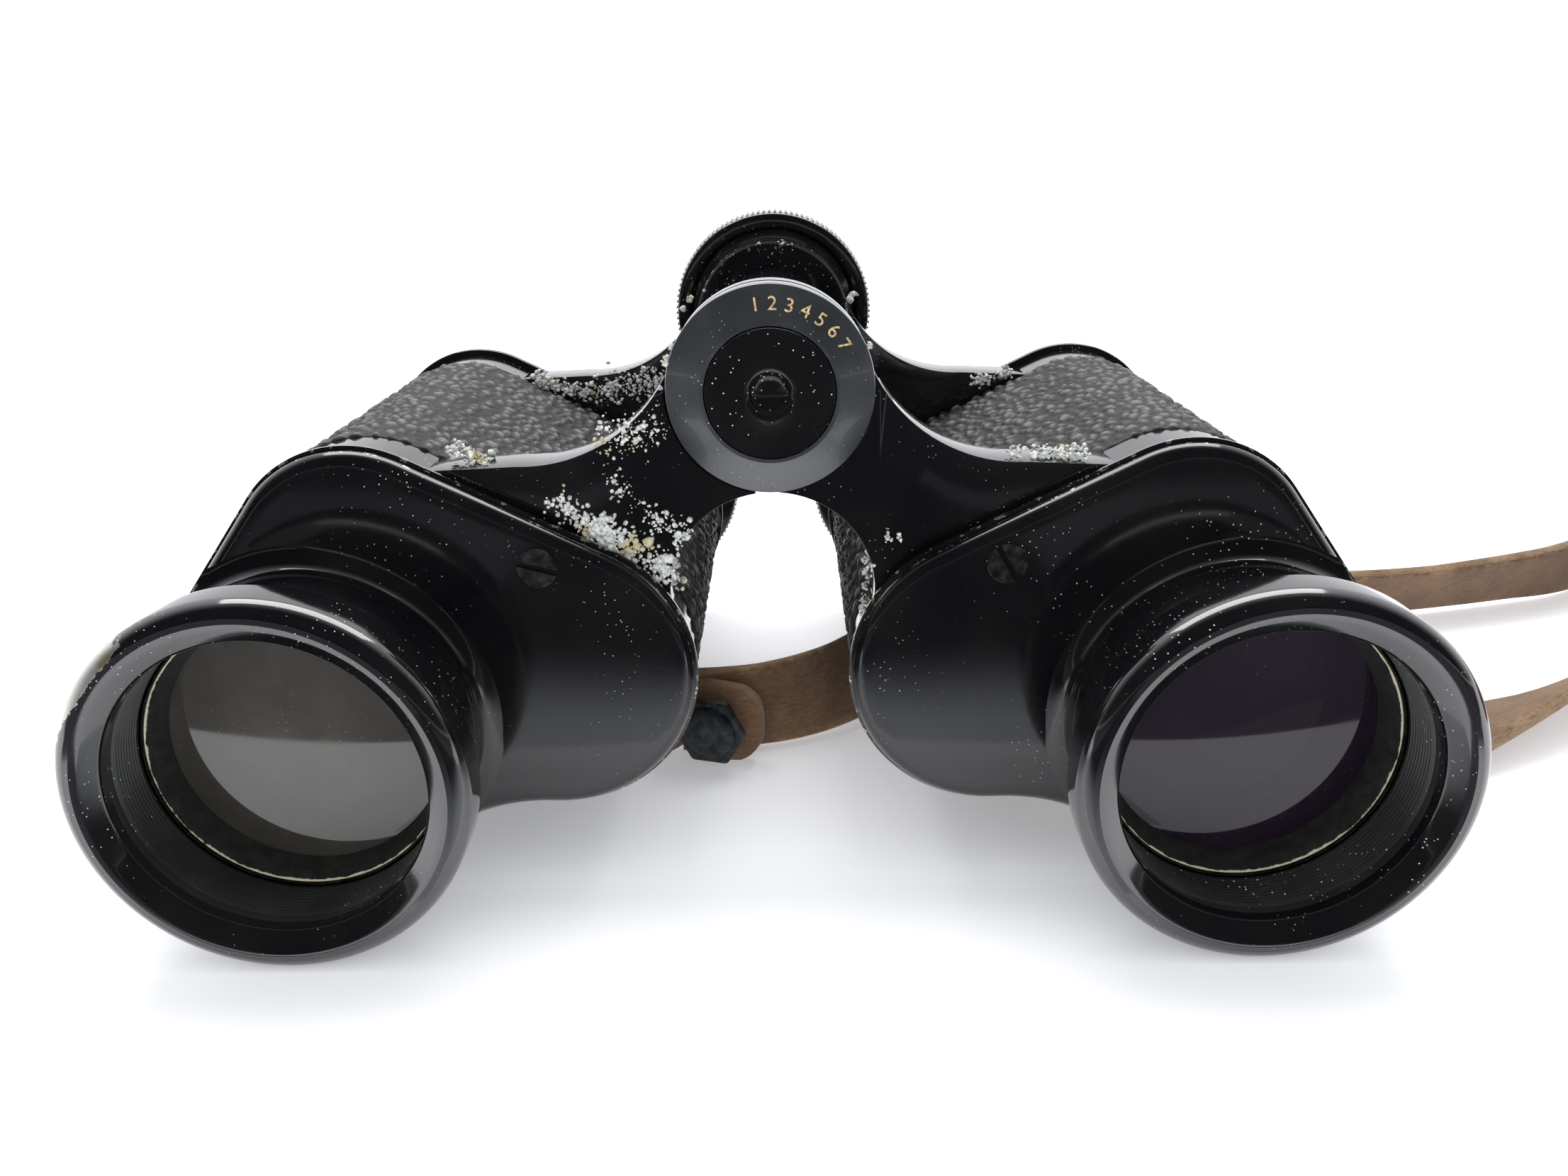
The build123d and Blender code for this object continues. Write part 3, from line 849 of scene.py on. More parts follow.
def scatter_tree(finish: Finish) -> Tree:
    """A tree that puts a copy of a shape on each point, by the point's own size and turn."""
    tree = Tree(f"scatter_{finish.name}")
    shape = tree.input("Shape", "NodeSocketObject")
    seen = tree.node("GeometryNodeObjectInfo", {"Object": shape})
    size = tree.node("GeometryNodeInputNamedAttribute", {"Name": "size"}, data_type="FLOAT_VECTOR")
    turn = tree.node("GeometryNodeInputNamedAttribute", {"Name": "turn"}, data_type="FLOAT_VECTOR")
    spin = tree.node("FunctionNodeEulerToRotation", {0: turn.outputs[0]})
    copies = tree.node(
        "GeometryNodeInstanceOnPoints",
        {
            "Points": tree.given.outputs["Geometry"],
            "Instance": seen.outputs["Geometry"],
            "Rotation": spin.outputs[0],
            "Scale": size.outputs[0],
        },
    )
    tree.end(copies.outputs[0], finish.material)
    return tree


def scatter(
    name: str, places: np.ndarray, sizes: np.ndarray, turns: np.ndarray, shape: bpy.types.Object,
    finish: Finish,
) -> bpy.types.Object:
    """Copies a shape to each place.

    Args:
        name: the name of the piece.
        places: rows of x, station and z in millimetres.
        sizes: rows of scales.
        turns: rows of Euler angles in radians.
        shape: what is copied.
        finish: what the copies are finished in.

    Returns:
        One object with all the copies as a plain mesh.
    """
    made = make_object(name, places, [], finish, close=False)
    for word, rows in (("size", sizes), ("turn", turns)):
        layer = made.data.attributes.new(word, "FLOAT_VECTOR", "POINT")
        layer.data.foreach_set("vector", np.asarray(rows, np.float32).ravel())
    return scatter_tree(finish).run(made, {"Shape": shape})


def template(
    name: str, points: np.ndarray, faces: Sequence[Sequence[int]], finish: Finish
) -> bpy.types.Object:
    """A small shape in metres about its own origin, to be copied and then removed."""
    return linked(name, new_mesh(name, points, faces, finish.material))


def discard(made: bpy.types.Object) -> None:
    """Removes a template."""
    bpy.data.objects.remove(made)


# ---- The housing's section -----------------------------------------------------------
@dataclass(frozen=True)
class Section:
    """The housing's outline across the hinge axis, in millimetres on the right side."""

    objective: Point = (51.8, -36.7)
    ocular: Point = (25.4, -31.6)
    ocular_corner: Point = (25.1, -32.2)
    top_lobe: Point = (46.0, -19.2)
    objective_r: float = 18.8
    ocular_r: float = 15.6
    top_r: float = 13.1
    hollow_r: float = 25.0

    def hollow_centre(self) -> Vector:
        """The centre of the hollow lower side."""
        a, b = Vector(self.ocular_corner), Vector(self.objective)
        ra, rb = self.ocular_r + self.hollow_r, self.objective_r + self.hollow_r
        gap = b - a
        along = (ra**2 - rb**2 + gap.length_squared) / (2 * gap.length)
        off = math.sqrt(ra**2 - along**2)
        unit = gap.normalized()
        return a + unit * along + Vector((unit.y, -unit.x)) * off

    @staticmethod
    def tangent(first: Vector, r1: float, second: Vector, r2: float) -> float:
        """The angle of the outward normal of the line that touches two circles on its right."""
        gap = second - first
        lean = math.asin((r1 - r2) / gap.length)
        return math.atan2(gap.y, gap.x) - math.pi / 2 + lean

    def ring(self, grow: float, fine: int = 1) -> np.ndarray:
        """Points round the outline, counter-clockwise seen with z up and x right.

        Args:
            grow: how far the outline is moved outwards, or inwards if negative.
            fine: how many times more points there are than usual.

        Returns:
            Rows of x and z, always as many for the same fineness.
        """
        low, obj, top = (Vector(c) for c in (self.ocular_corner, self.objective, self.top_lobe))
        dip = self.hollow_centre()
        r_low, r_obj, r_top = self.ocular_r + grow, self.objective_r + grow, self.top_r + grow
        up_right = self.tangent(obj, r_obj, top, r_top)
        over = self.tangent(top, r_top, low, r_low)
        to_low = math.atan2(dip.y - low.y, dip.x - low.x)
        to_obj = math.atan2(dip.y - obj.y, dip.x - obj.x)
        parts = [
            self.arc(low, r_low, over, to_low, 44 * fine),
            self.arc(dip, self.hollow_r - grow, to_low + math.pi, to_obj + math.pi, 16 * fine, True),
            self.arc(obj, r_obj, to_obj, up_right, 48 * fine),
            self.arc(top, r_top, up_right, over, 26 * fine),
        ]
        return self.respaced(np.concatenate(parts), 168 * fine)

    @staticmethod
    def arc(
        centre: Vector, radius: float, start: float, end: float, count: int, back: bool = False
    ) -> np.ndarray:
        """Points on an arc, counter-clockwise, or clockwise where back is set."""
        span = (start - end if back else end - start) % (2 * math.pi)
        angles = start + np.linspace(0, -span if back else span, count)
        return np.stack([centre.x + radius * np.cos(angles), centre.y + radius * np.sin(angles)], 1)

    @staticmethod
    def respaced(points: np.ndarray, count: int) -> np.ndarray:
        """The same closed line with evenly spaced points."""
        looped = np.concatenate([points, points[:1]])
        along = np.concatenate([[0], np.cumsum(np.linalg.norm(np.diff(looped, axis=0), axis=1))])
        at = np.linspace(0, along[-1], count, endpoint=False)
        return np.stack([np.interp(at, along, looped[:, k]) for k in range(2)], 1)

    def rings(self, profile: Sequence[Point], fine: int = 1) -> Rings:
        """Rings for a profile of (grow, station)."""
        made = []
        for grow, station in profile:
            flat = self.ring(grow, fine)
            made.append(np.stack([flat[:, 0], np.full(len(flat), station), flat[:, 1]], 1))
        return made


SECTION = Section()


# ---- One barrel ----------------------------------------------------------------------
@dataclass
class Barrel:
    """One prism housing with its covers, leather, objective and screws."""

    side: Side
    grain: Tree
    body_start: float = 19.4
    body_end: float = 82.6
    leather_start: float = 26.7
    leather_end: float = 75.3
    cover_face: float = 16.9
    rear_thick: float = 2.4
    lip: float = 0.85
    neck_r: float = 18.3
    rim_r: float = 21.0
    thread_r: float = 16.5
    thread_turns: int = 9
    thread_pitch: float = 0.55
    screw_at: Point = (25.8, -18.65)
    rear_screws: tuple[Point, Point] = ((46.5, -10.6), (63.5, -44.7))

    @property
    def word(self) -> str:
        """The side's word."""
        return self.side.word

    def settle(self, made: bpy.types.Object, nodes: Sequence[str], slot: str) -> bpy.types.Object:
        """Puts a piece on this barrel in place of its CAD nodes."""
        return settle(made, self.side.barrel, [f"{self.word}_{n}" for n in nodes])

    def turned(
        self, word: str, profile: Sequence[Point], segments: int, finish: Finish, sharp: float = 38.0,
        wear: WearRule | None = None,
    ) -> bpy.types.Object:
        """One piece turned about this barrel's objective axis; see Shells.turn."""
        shells = Shells.empty()
        shells.turn(SECTION.objective, profile, segments, wear)
        return shells.mirrored(self.side).build(f"{self.word}_{word}", finish, sharp)

    def casing(self) -> None:
        """The casting: a metal band at each end and the wall under the leather."""
        soft, start, end = 0.35, self.leather_start, self.leather_end
        profile = [
            (-2.8, self.body_start), (-soft, self.body_start), (0.0, self.body_start + soft),
            (0.0, start - 0.3), (-0.2, start - 0.06), (-0.9, start - 0.05),
            (-0.9, end + 0.05), (-0.2, end + 0.06), (0.0, end + 0.3),
            (0.0, self.body_end - soft), (-soft, self.body_end), (-2.8, self.body_end),
        ]
        shells = Shells.empty()
        shells.loft(SECTION.rings(profile), False)
        made = shells.mirrored(self.side).build(f"{self.word}_casing", ENAMEL)
        self.settle(made, ["prism_body"], "black_enamel")

    def leather(self) -> None:
        """The pebbled covering, grained by Geometry Nodes on a fine mesh."""
        start, end, steps = self.leather_start, self.leather_end, 132
        profile = [(-0.82, start), (-0.25, start), (-0.08, start + 0.12)]
        profile += [(0.0, float(s)) for s in np.linspace(start + 0.3, end - 0.3, steps)]
        profile += [(-0.08, end - 0.12), (-0.25, end), (-0.82, end)]
        rings = SECTION.rings(profile, 3)
        grained = np.repeat([1.0 if grow == 0.0 else 0.0 for grow, _ in profile], len(rings[0]))
        shells = Shells.empty()
        shells.loft(rings, False, grained)
        made = shells.mirrored(self.side).build(f"{self.word}_covering", LEATHER, 80)
        self.grain.run(made, {"Cell Size": 1.6 * MM, "Depth": 0.45 * MM})
        made.data.shade_smooth()
        self.settle(made, ["leather_cover"], "covering")

    def front_cover(self) -> None:
        """The front plate with its rolled edge and the neck of the objective."""
        face = self.cover_face
        arc = [
            (-1.15 + 1.6 * math.sin(t), face + 0.02 + 1.5 * (1 - math.cos(t)))
            for t in np.linspace(0.1, 1.45, 9)
        ]
        profile = [(-9.0, face - 0.14), (-6.0, face - 0.11), (-3.4, face - 0.05), (-2.0, face)]
        profile += arc
        edge = self.lip
        profile += [(0.42, face + 1.55), (0.25, face + 1.62), (0.3, face + 1.75), (edge - 0.2, face + 1.8)]
        profile += [(edge, face + 1.95), (edge, face + 2.3), (edge - 0.2, face + 2.48)]
        profile += [(-1.0, self.body_start - 0.02)]
        rings = SECTION.rings(profile, 2)
        worn = [0.4 if grow > 0.3 else 0.1 if grow > -0.2 else 0.0 for grow, _ in profile]
        wear = np.repeat(worn, len(rings[0]))
        shells = Shells.empty()
        shells.loft(rings, True, wear)
        flare = 2.6
        root = [
            (self.neck_r + flare * (1 - math.sin(t)), face - 0.12 - flare * (1 - math.cos(t)))
            for t in np.linspace(0, 1.5, 9)
        ]
        neck = [(17.3, 5.1), (self.neck_r - 0.2, 5.1), (self.neck_r, 5.3), *reversed(root)]
        neck += [(self.neck_r + flare, face + 0.5), (17.3, face + 0.5)]
        shells.turn(SECTION.objective, neck, 160)
        self.trim_to_plate(shells.points[-1])
        made = shells.mirrored(self.side).build(f"{self.word}_front_plate", ENAMEL, 50)
        self.settle(made, ["front_cover"], "black_enamel")

    def trim_to_plate(self, points: np.ndarray) -> None:
        """Draws the flare of the neck in where it would stand past the plate's outline."""
        outline = SECTION.ring(0.3) - SECTION.objective
        turn = np.arctan2(outline[:, 1], outline[:, 0])
        off = points[:, [0, 2]] - SECTION.objective
        radius = np.hypot(off[:, 0], off[:, 1])
        order = np.argsort(turn)
        reach = np.interp(
            np.arctan2(off[:, 1], off[:, 0]), turn[order], np.hypot(*outline.T)[order], period=2 * np.pi
        )
        limit = np.maximum(reach, self.neck_r)
        points[:, [0, 2]] = SECTION.objective + off * np.minimum(1.0, limit / radius)[:, None]

    def rear_cover(self) -> None:
        """The rear plate and the guide tube of the ocular."""
        end = self.body_end + self.rear_thick
        edge = self.lip
        profile = [(-9.0, end), (-1.2, end)]
        bend = np.linspace(0.1, 1.5, 7)
        profile += [(-1.1 + 1.5 * math.sin(t), end - 1.2 * (1 - math.cos(t))) for t in bend]
        profile += [(0.25, end - 1.35), (edge, end - 1.5), (edge, end - 2.2)]
        profile += [(edge - 0.2, end - 2.38), (-1, end - 2.38)]
        shells = Shells.empty()
        shells.loft(SECTION.rings(profile, 2), True)
        guide = [(11.6, end - 1), (14.6, end - 1), (14.6, end + 1.2), (14.2, end + 1.6), (13.2, end + 1.7),
                 (13.0, end + 1.9), (13.0, end + 4.5), (12.7, end + 4.8), (11.6, end + 4.8)]
        shells.turn(SECTION.ocular, guide, 112)
        made = shells.mirrored(self.side).build(f"{self.word}_rear_plate", ENAMEL, 50)
        self.settle(made, ["rear_cover", "ocular_guide"], "black_enamel")

    def bezel(self) -> None:
        """The turned rim with fine thread inside, chipped where it has been knocked."""
        front, thread = RIM_FRONT, self.thread_r
        thread_profile = [(17.25, 7.9), (thread, 7.9)]
        for k in range(self.thread_turns):
            at = 7.5 - self.thread_pitch * k
            thread_profile += [(thread, at), (thread + 0.24, at - 0.2), (thread, at - 0.4)]
        thread_profile += [(thread + 0.2, 2.5), (thread + 0.2, 2.1), (thread, 1.9), (thread, 1.2)]
        thread_profile += [(17.25, 1.2)]
        made = self.turned("rim_thread", thread_profile, 160, THREAD, 30)
        self.settle(made, ["objective_bezel"], "black_enamel")
        profile = [(17.2, 1.22)]
        profile += rounded(
            [
                (thread, 1.2), (thread, front + 1.5), (18.7, front), (self.rim_r, front),
                (self.rim_r, 4.6), (19.6, 5.6), (17.2, 5.6),
            ],
            {1: 0.7, 2: 2.6, 3: 2.1, 4: 1.6}, 8, False,
        )
        knocks = self.knocks

        def wear(radius: np.ndarray, station: np.ndarray, angle: np.ndarray) -> np.ndarray:
            """Wear at each knock, falling off round the rim and towards the bore."""
            worn = np.clip((1.0 - (station - RIM_FRONT) / 2.0) * 0.12, 0, 0.12)
            for place, spread, depth, reach in knocks:
                off = (angle - place + 180) % 360 - 180
                worn = worn + depth * np.exp(-((off / spread) ** 2)) * np.clip((radius - reach) / 1.2, 0, 1)
            return worn

        made = self.turned("rim", profile, 192, RIM, 50, wear)
        self.settle(made, ["objective_bezel"], "black_enamel")

    @property
    def knocks(self) -> tuple[tuple[float, float, float, float], ...]:
        """Angle, spread, depth and inner reach of the bare places on this side's rim."""
        if self.side is Side.LEFT:
            return ((40.0, 19.0, 0.85, 18.9), (20.0, 12.0, 0.42, 20.0), (-40.0, 9.0, 0.5, 20.2))
        return ((-8.0, 10.0, 0.75, 19.7), (-48.0, 10.0, 0.6, 20.0), (22.0, 14.0, 0.4, 20.1))

    def glass(self) -> None:
        """The objective's bulging front and the coned ring that holds it."""
        edge, bulge, start, back = 15.6, 1.7, 12.1, 17.6
        curve = (edge**2 + bulge**2) / (2 * bulge)
        radii = np.linspace(edge, 0, 24)
        front = [(float(r), start + curve - bulge - math.sqrt(curve**2 - r**2)) for r in radii]
        profile = [(0.0, back), (edge, back), *front]
        finish = RIGHT_GLASS if self.side is Side.RIGHT else LEFT_GLASS
        made = self.turned("objective_glass", profile, 128, finish, 40)
        self.settle(made, ["objective_lens"], "coated_glass")
        cone = [
            (16.55, 8.2), (16.5, 8.0), (16.3, 8.0), (16.2, 8.15), (16.08, 8.42),
            (15.8, 9.0), (15.45, 10.2), (15.05, 11.6), (15.0, 12.0), (16.55, 12.0),
        ]

        def worn_edge(radius: np.ndarray, station: np.ndarray, angle: np.ndarray) -> np.ndarray:
            """The front edge is worn to the brass."""
            wear = 0.66 + 0.12 * np.sin(np.radians(angle * 3))
            return np.where(station < 8.5, wear, 0.0) * (radius < 16.4)

        made = self.turned("lens_ring", cone, 160, RING, wear=worn_edge)
        self.settle(made, ["retaining_ring"], "black_brass")

    def screws(self) -> None:
        """Slotted screw heads: one in the front plate and two in the rear one."""
        head = screw_head()
        slot_turns = {Side.RIGHT: (-1.05, 0.4, 1.9), Side.LEFT: (-0.26, 1.1, 2.3)}[self.side]
        sign = self.side.value
        face, rear = self.cover_face - 0.12, self.body_end + self.rear_thick
        places = [(sign * self.screw_at[0], face, self.screw_at[1])]
        places += [(sign * x, rear, z) for x, z in self.rear_screws]
        turns = [(0, -slot_turns[0], 0)] + [(0, turn, math.pi) for turn in slot_turns[1:]]
        made = scatter(f"{self.word}_screws", np.array(places), np.ones((3, 3)), np.array(turns), head, STEEL)
        made.data.shade_smooth()
        made.data.set_sharp_from_angle(angle=math.radians(35))
        self.settle(made, ["cover_screws"], "screw_steel")
        discard(head)

    def build(self) -> None:
        """Makes every piece of the barrel."""
        self.casing()
        self.leather()
        self.front_cover()
        self.rear_cover()
        self.bezel()
        self.glass()
        self.screws()


def grain_tree() -> Tree:
    """A tree that raises a leather grain where the point attribute wear is 1."""
    tree = Tree("leather_grain")
    size = tree.input("Cell Size", "NodeSocketFloat")
    depth = tree.input("Depth", "NodeSocketFloat")
    scale = tree.node("ShaderNodeMath", {0: 1.0, 1: size}, operation="DIVIDE").outputs[0]
    place = tree.node("GeometryNodeInputPosition", {}).outputs[0]
    warp = tree.node("ShaderNodeTexNoise", {"Vector": place, "Scale": 480.0, "Detail": 2.0})
    shift = tree.node(
        "ShaderNodeVectorMath", {0: warp.outputs["Color"], 1: (0.7 * MM,) * 3}, operation="MULTIPLY"
    )
    moved = tree.node("ShaderNodeVectorMath", {0: place, 1: shift.outputs[0]}, operation="ADD")
    cells = tree.node(
        "ShaderNodeTexVoronoi", {"Vector": moved.outputs[0], "Scale": scale}, feature="DISTANCE_TO_EDGE"
    )
    dome = tree.node(
        "ShaderNodeMapRange", {0: cells.outputs["Distance"], 1: 0.0, 2: 0.34},
        interpolation_type="SMOOTHSTEP",
    )
    mask = tree.node("GeometryNodeInputNamedAttribute", {"Name": "wear"}, data_type="FLOAT")
    kept = tree.node("ShaderNodeMath", {0: dome.outputs[0], 1: mask.outputs[0]}, operation="MULTIPLY")
    lift = tree.node("ShaderNodeMath", {0: kept.outputs[0], 1: depth}, operation="MULTIPLY")
    normal = tree.node("GeometryNodeInputNormal", {})
    offset = tree.node(
        "ShaderNodeVectorMath", {0: normal.outputs[0], "Scale": lift.outputs[0]}, operation="SCALE"
    )
    stored = tree.node(
        "GeometryNodeStoreNamedAttribute",
        {"Geometry": tree.given.outputs["Geometry"], "Name": "grain", "Value": kept.outputs[0]},
        data_type="FLOAT", domain="POINT",
    )
    raised = tree.node(
        "GeometryNodeSetPosition", {"Geometry": stored.outputs[0], "Offset": offset.outputs[0]}
    )
    tree.end(raised.outputs[0], LEATHER.material)
    return tree


def screw_head() -> bpy.types.Object:
    """A slotted cheese head that faces -Y about its own origin."""
    radius, low, high, half_slot, count = 2.25, 0.7, -0.32, 0.33, 40
    edge = math.asin(half_slot / radius)
    points: list[Sequence[float]] = []
    faces: list[Sequence[int]] = []

    def prism(outline: Sequence[Point], start: float, end: float, top: float) -> None:
        """Adds a closed prism whose front outline is shrunk a little for a soft edge."""
        first, n = len(points), len(outline)
        for scale, depth in ((1.0, start), (1.0, end + 0.12), (top, end)):
            points.extend((x * scale * MM, depth * MM, z * scale * MM) for x, z in outline)
        faces.append([first + i for i in range(n)])
        faces.append([first + 2 * n + i for i in reversed(range(n))])
        faces.extend(bands(n, 3, first))

    prism(circle((0, 0), radius, np.linspace(0, 2 * math.pi, count, endpoint=False)), low, 0.25, 0.99)
    for flip in (1, -1):
        arc = np.linspace(edge, math.pi - edge, count // 2)
        prism([(x * flip, z * flip) for x, z in circle((0, 0), radius, arc)], 0.4, high, 0.95)
    made = template("screw_head", np.array(points), faces, STEEL)
    turn_outward(made.data)
    return made


# ---- Hinge ---------------------------------------------------------------------------
@dataclass
class Hinge:
    """The arms, knuckles, disc and cap that join the two barrels."""

    front_arm: Point = (20.5, 26.5)
    rear_arm: Point = (75.5, 81.5)
    knuckle_r: float = 11.2
    axle_bore_r: float = 4.1
    room: float = 0.3
    ocular_room_r: float = 14.3
    saddle: tuple[Point, float] = ((27.4, 10.0), 18.2)
    arch: tuple[Point, float] = ((0.0, -23.0), 11.6)
    figures: str = "1234567"
    figure_r: float = 9.25

    def arm_outline(self, inner: float) -> list[Point]:
        """The arm's outline from the knuckle's room to the housing.

        Args:
            inner: the radius about the hinge axis where the arm's full thickness starts.

        Returns:
            Corners and arc points of x and z, counter-clockwise.
        """
        top = circle(*self.saddle, np.linspace(math.radians(199), math.radians(272), 22))
        top = [p for p in top if math.hypot(*p) > inner + 0.2]
        low = circle(*self.arch, np.linspace(math.radians(-14), math.radians(86), 22))
        low = [p for p in low if math.hypot(*p) > inner + 0.15 and p[0] > 0.35]
        end = math.atan2(low[-1][1], low[-1][0])
        begin = math.atan2(top[0][1], top[0][0])
        knuckle = circle((0, 0), inner, np.linspace(end, begin, 20))
        clear = circle(SECTION.ocular, self.ocular_room_r, np.radians((66, 90, 114, 138, 158)))
        return knuckle + top + [(38.0, -8.6), (37.0, -14.0)] + clear + low

    def arm(self, side: Side, stations: Point, own: Point, word: str) -> None:
        """One arm with its knuckle on the stations that are its own."""
        start, end = stations
        shells = Shells.empty()
        outline = self.arm_outline(self.knuckle_r + self.room)
        rings = [np.array([(x, s, z) for x, z in outline]) for s in (start, end)]
        shells.loft(rings, True)
        tongue = self.arm_outline(self.knuckle_r - 1.5)
        near = [p for p in tongue if math.hypot(*p) < self.knuckle_r + 3]
        rings = [np.array([(x, s, z) for x, z in near]) for s in (own[0] + 0.02, own[1] - 0.02)]
        shells.loft(rings, True)
        name = f"{side.word}_{word}_arm"
        web = shells.mirrored(side).build(f"{name}_web", ENAMEL)
        bevelled(web, 0.95, 4, 50)
        knuckle = Shells.empty()
        low, high = own
        r, bore, soft = self.knuckle_r, self.axle_bore_r, 0.35
        edge_wear = 0.4 if word == "rear" else 0.15
        profile = [
            (bore, low), (r - soft, low), (r, low + soft),
            (r, high - soft), (r - soft, high), (bore, high),
        ]

        def worn(radius: np.ndarray, station: np.ndarray, angle: np.ndarray) -> np.ndarray:
            """The front edge is rubbed."""
            return np.where((radius > r - 0.4) & (station < low + 0.4), edge_wear, 0.1)

        knuckle.turn((0, 0), profile, 96, worn)
        pin = knuckle.mirrored(side).build(name, ENAMEL)
        join(pin, [web])
        settle(pin, side.barrel, [name])

    def disc(self) -> None:
        """The coned disc on the front of the hinge, its cap and the raised figures."""
        back = self.front_arm[0] - 0.12
        corners = [(7.1, back), (7.1, 18.25), (7.5, 18.3), (11.25, 19.95), (11.3, back)]
        cone = rounded(corners, {2: 0.25, 3: 0.2}, 4)

        def worn(radius: np.ndarray, station: np.ndarray, angle: np.ndarray) -> np.ndarray:
            """The rim of the disc is rubbed, most of all at its upper left."""
            rim = np.clip((radius - 10.9) / 0.4, 0, 1)
            return rim * (0.22 + 0.2 * np.exp(-(((angle - 140) / 30) ** 2)))

        on_axis("hinge_cone", cone, 144, DISC, "right_barrel", "hinge_disc", wear=worn)
        dimple = [
            (0.0, back), (7.0, back), (7.0, 18.25), (6.9, 18.1), (2.9, 18.1),
            (2.45, 18.2), (2.2, 18.5), (1.9, 18.95), (1.2, 19.25), (0.0, 19.35),
        ]
        on_axis(
            "hinge_screw_cap", dimple, 96, CAP, "right_barrel", "hinge_cap",
            wear=lambda radius, station, angle: np.where((radius > 2.2) & (radius < 3), 0.15, 0.0),
        )
        self.number()

    def number(self) -> None:
        """Seven gold figures on the cone, their tops outwards."""
        rise, run = 1.65, 3.75
        slope = math.atan2(rise, run)
        first, step = 99.0, 11.1
        parts = []
        for i, figure in enumerate(self.figures):
            curve = bpy.data.curves.new(f"figure_{i}", "FONT")
            curve.body = figure
            curve.size = 2.15 * MM
            curve.align_x = curve.align_y = "CENTER"
            curve.extrude = 0.04 * MM
            letter = linked(f"figure_{i}", curve)
            mesh = evaluated_mesh(letter)
            bpy.data.objects.remove(letter)
            angle = math.radians(first - step * i)
            outward = Vector((math.cos(angle), 0, math.sin(angle)))
            normal = (outward * math.sin(slope) + Vector((0, -math.cos(slope), 0))).normalized()
            up = (outward - normal * outward.dot(normal)).normalized()
            station = 18.3 + (self.figure_r - 7.5) * rise / run - 0.03
            place = DATUM.at(outward.x * self.figure_r, station, outward.z * self.figure_r)
            turn = Matrix((up.cross(normal), up, normal)).transposed().to_4x4()
            mesh.transform(Matrix.Translation(place) @ turn)
            mesh.materials.clear()
            mesh.materials.append(GOLD.material)
            parts.append(linked(f"figure_{i}", mesh))
        join(parts[0], parts[1:])
        parts[0].name = "hinge_figures"
        turn_outward(parts[0].data, True)
        settle(parts[0], "right_barrel", [])

    def sleeve(self) -> None:
        """The tube over the axle between the arms, and the disc behind them."""
        bore = self.axle_bore_r
        sleeve = rounded([(bore, 26.75), (7.5, 26.75), (7.5, 75.25), (bore, 75.25)], {1: 0.5, 2: 0.5})
        on_axis("axle_sleeve", sleeve, 72, ENAMEL, "right_barrel", "hinge_sleeve")
        washer = rounded([(bore, 81.62), (10.5, 81.62), (10.5, 82.38), (bore, 82.38)], {1: 0.15, 2: 0.15})
        on_axis("hinge_washer", washer, 96, BRASS, "right_barrel", "spacing_disc")

    def build(self) -> None:
        """Makes the hinge."""
        front_middle, rear_middle = sum(self.front_arm) / 2, sum(self.rear_arm) / 2
        self.arm(Side.RIGHT, self.front_arm, (self.front_arm[0], front_middle - 0.1), "front")
        self.arm(Side.LEFT, self.front_arm, (front_middle + 0.1, self.front_arm[1]), "front")
        self.arm(Side.RIGHT, self.rear_arm, (rear_middle + 0.1, self.rear_arm[1]), "rear")
        self.arm(Side.LEFT, self.rear_arm, (self.rear_arm[0], rear_middle - 0.1), "rear")
        self.disc()
        self.sleeve()


def on_axis(
    name: str, profile: Sequence[Point], segments: int, finish: Finish, body: str, node: str,
    wear: WearRule | None = None,
) -> bpy.types.Object:
    """One piece turned about the hinge axis and settled on its body in place of a CAD node."""
    shells = Shells.empty()
    shells.turn((0, 0), profile, segments, wear)
    return settle(shells.build(name, finish), body, [node])


def join(kept: bpy.types.Object, others: Sequence[bpy.types.Object]) -> None:
    """Adds other objects' meshes to one object and removes them."""
    chosen = [kept, *others]
    with bpy.context.temp_override(active_object=kept, object=kept, selected_editable_objects=chosen):
        bpy.ops.object.join()


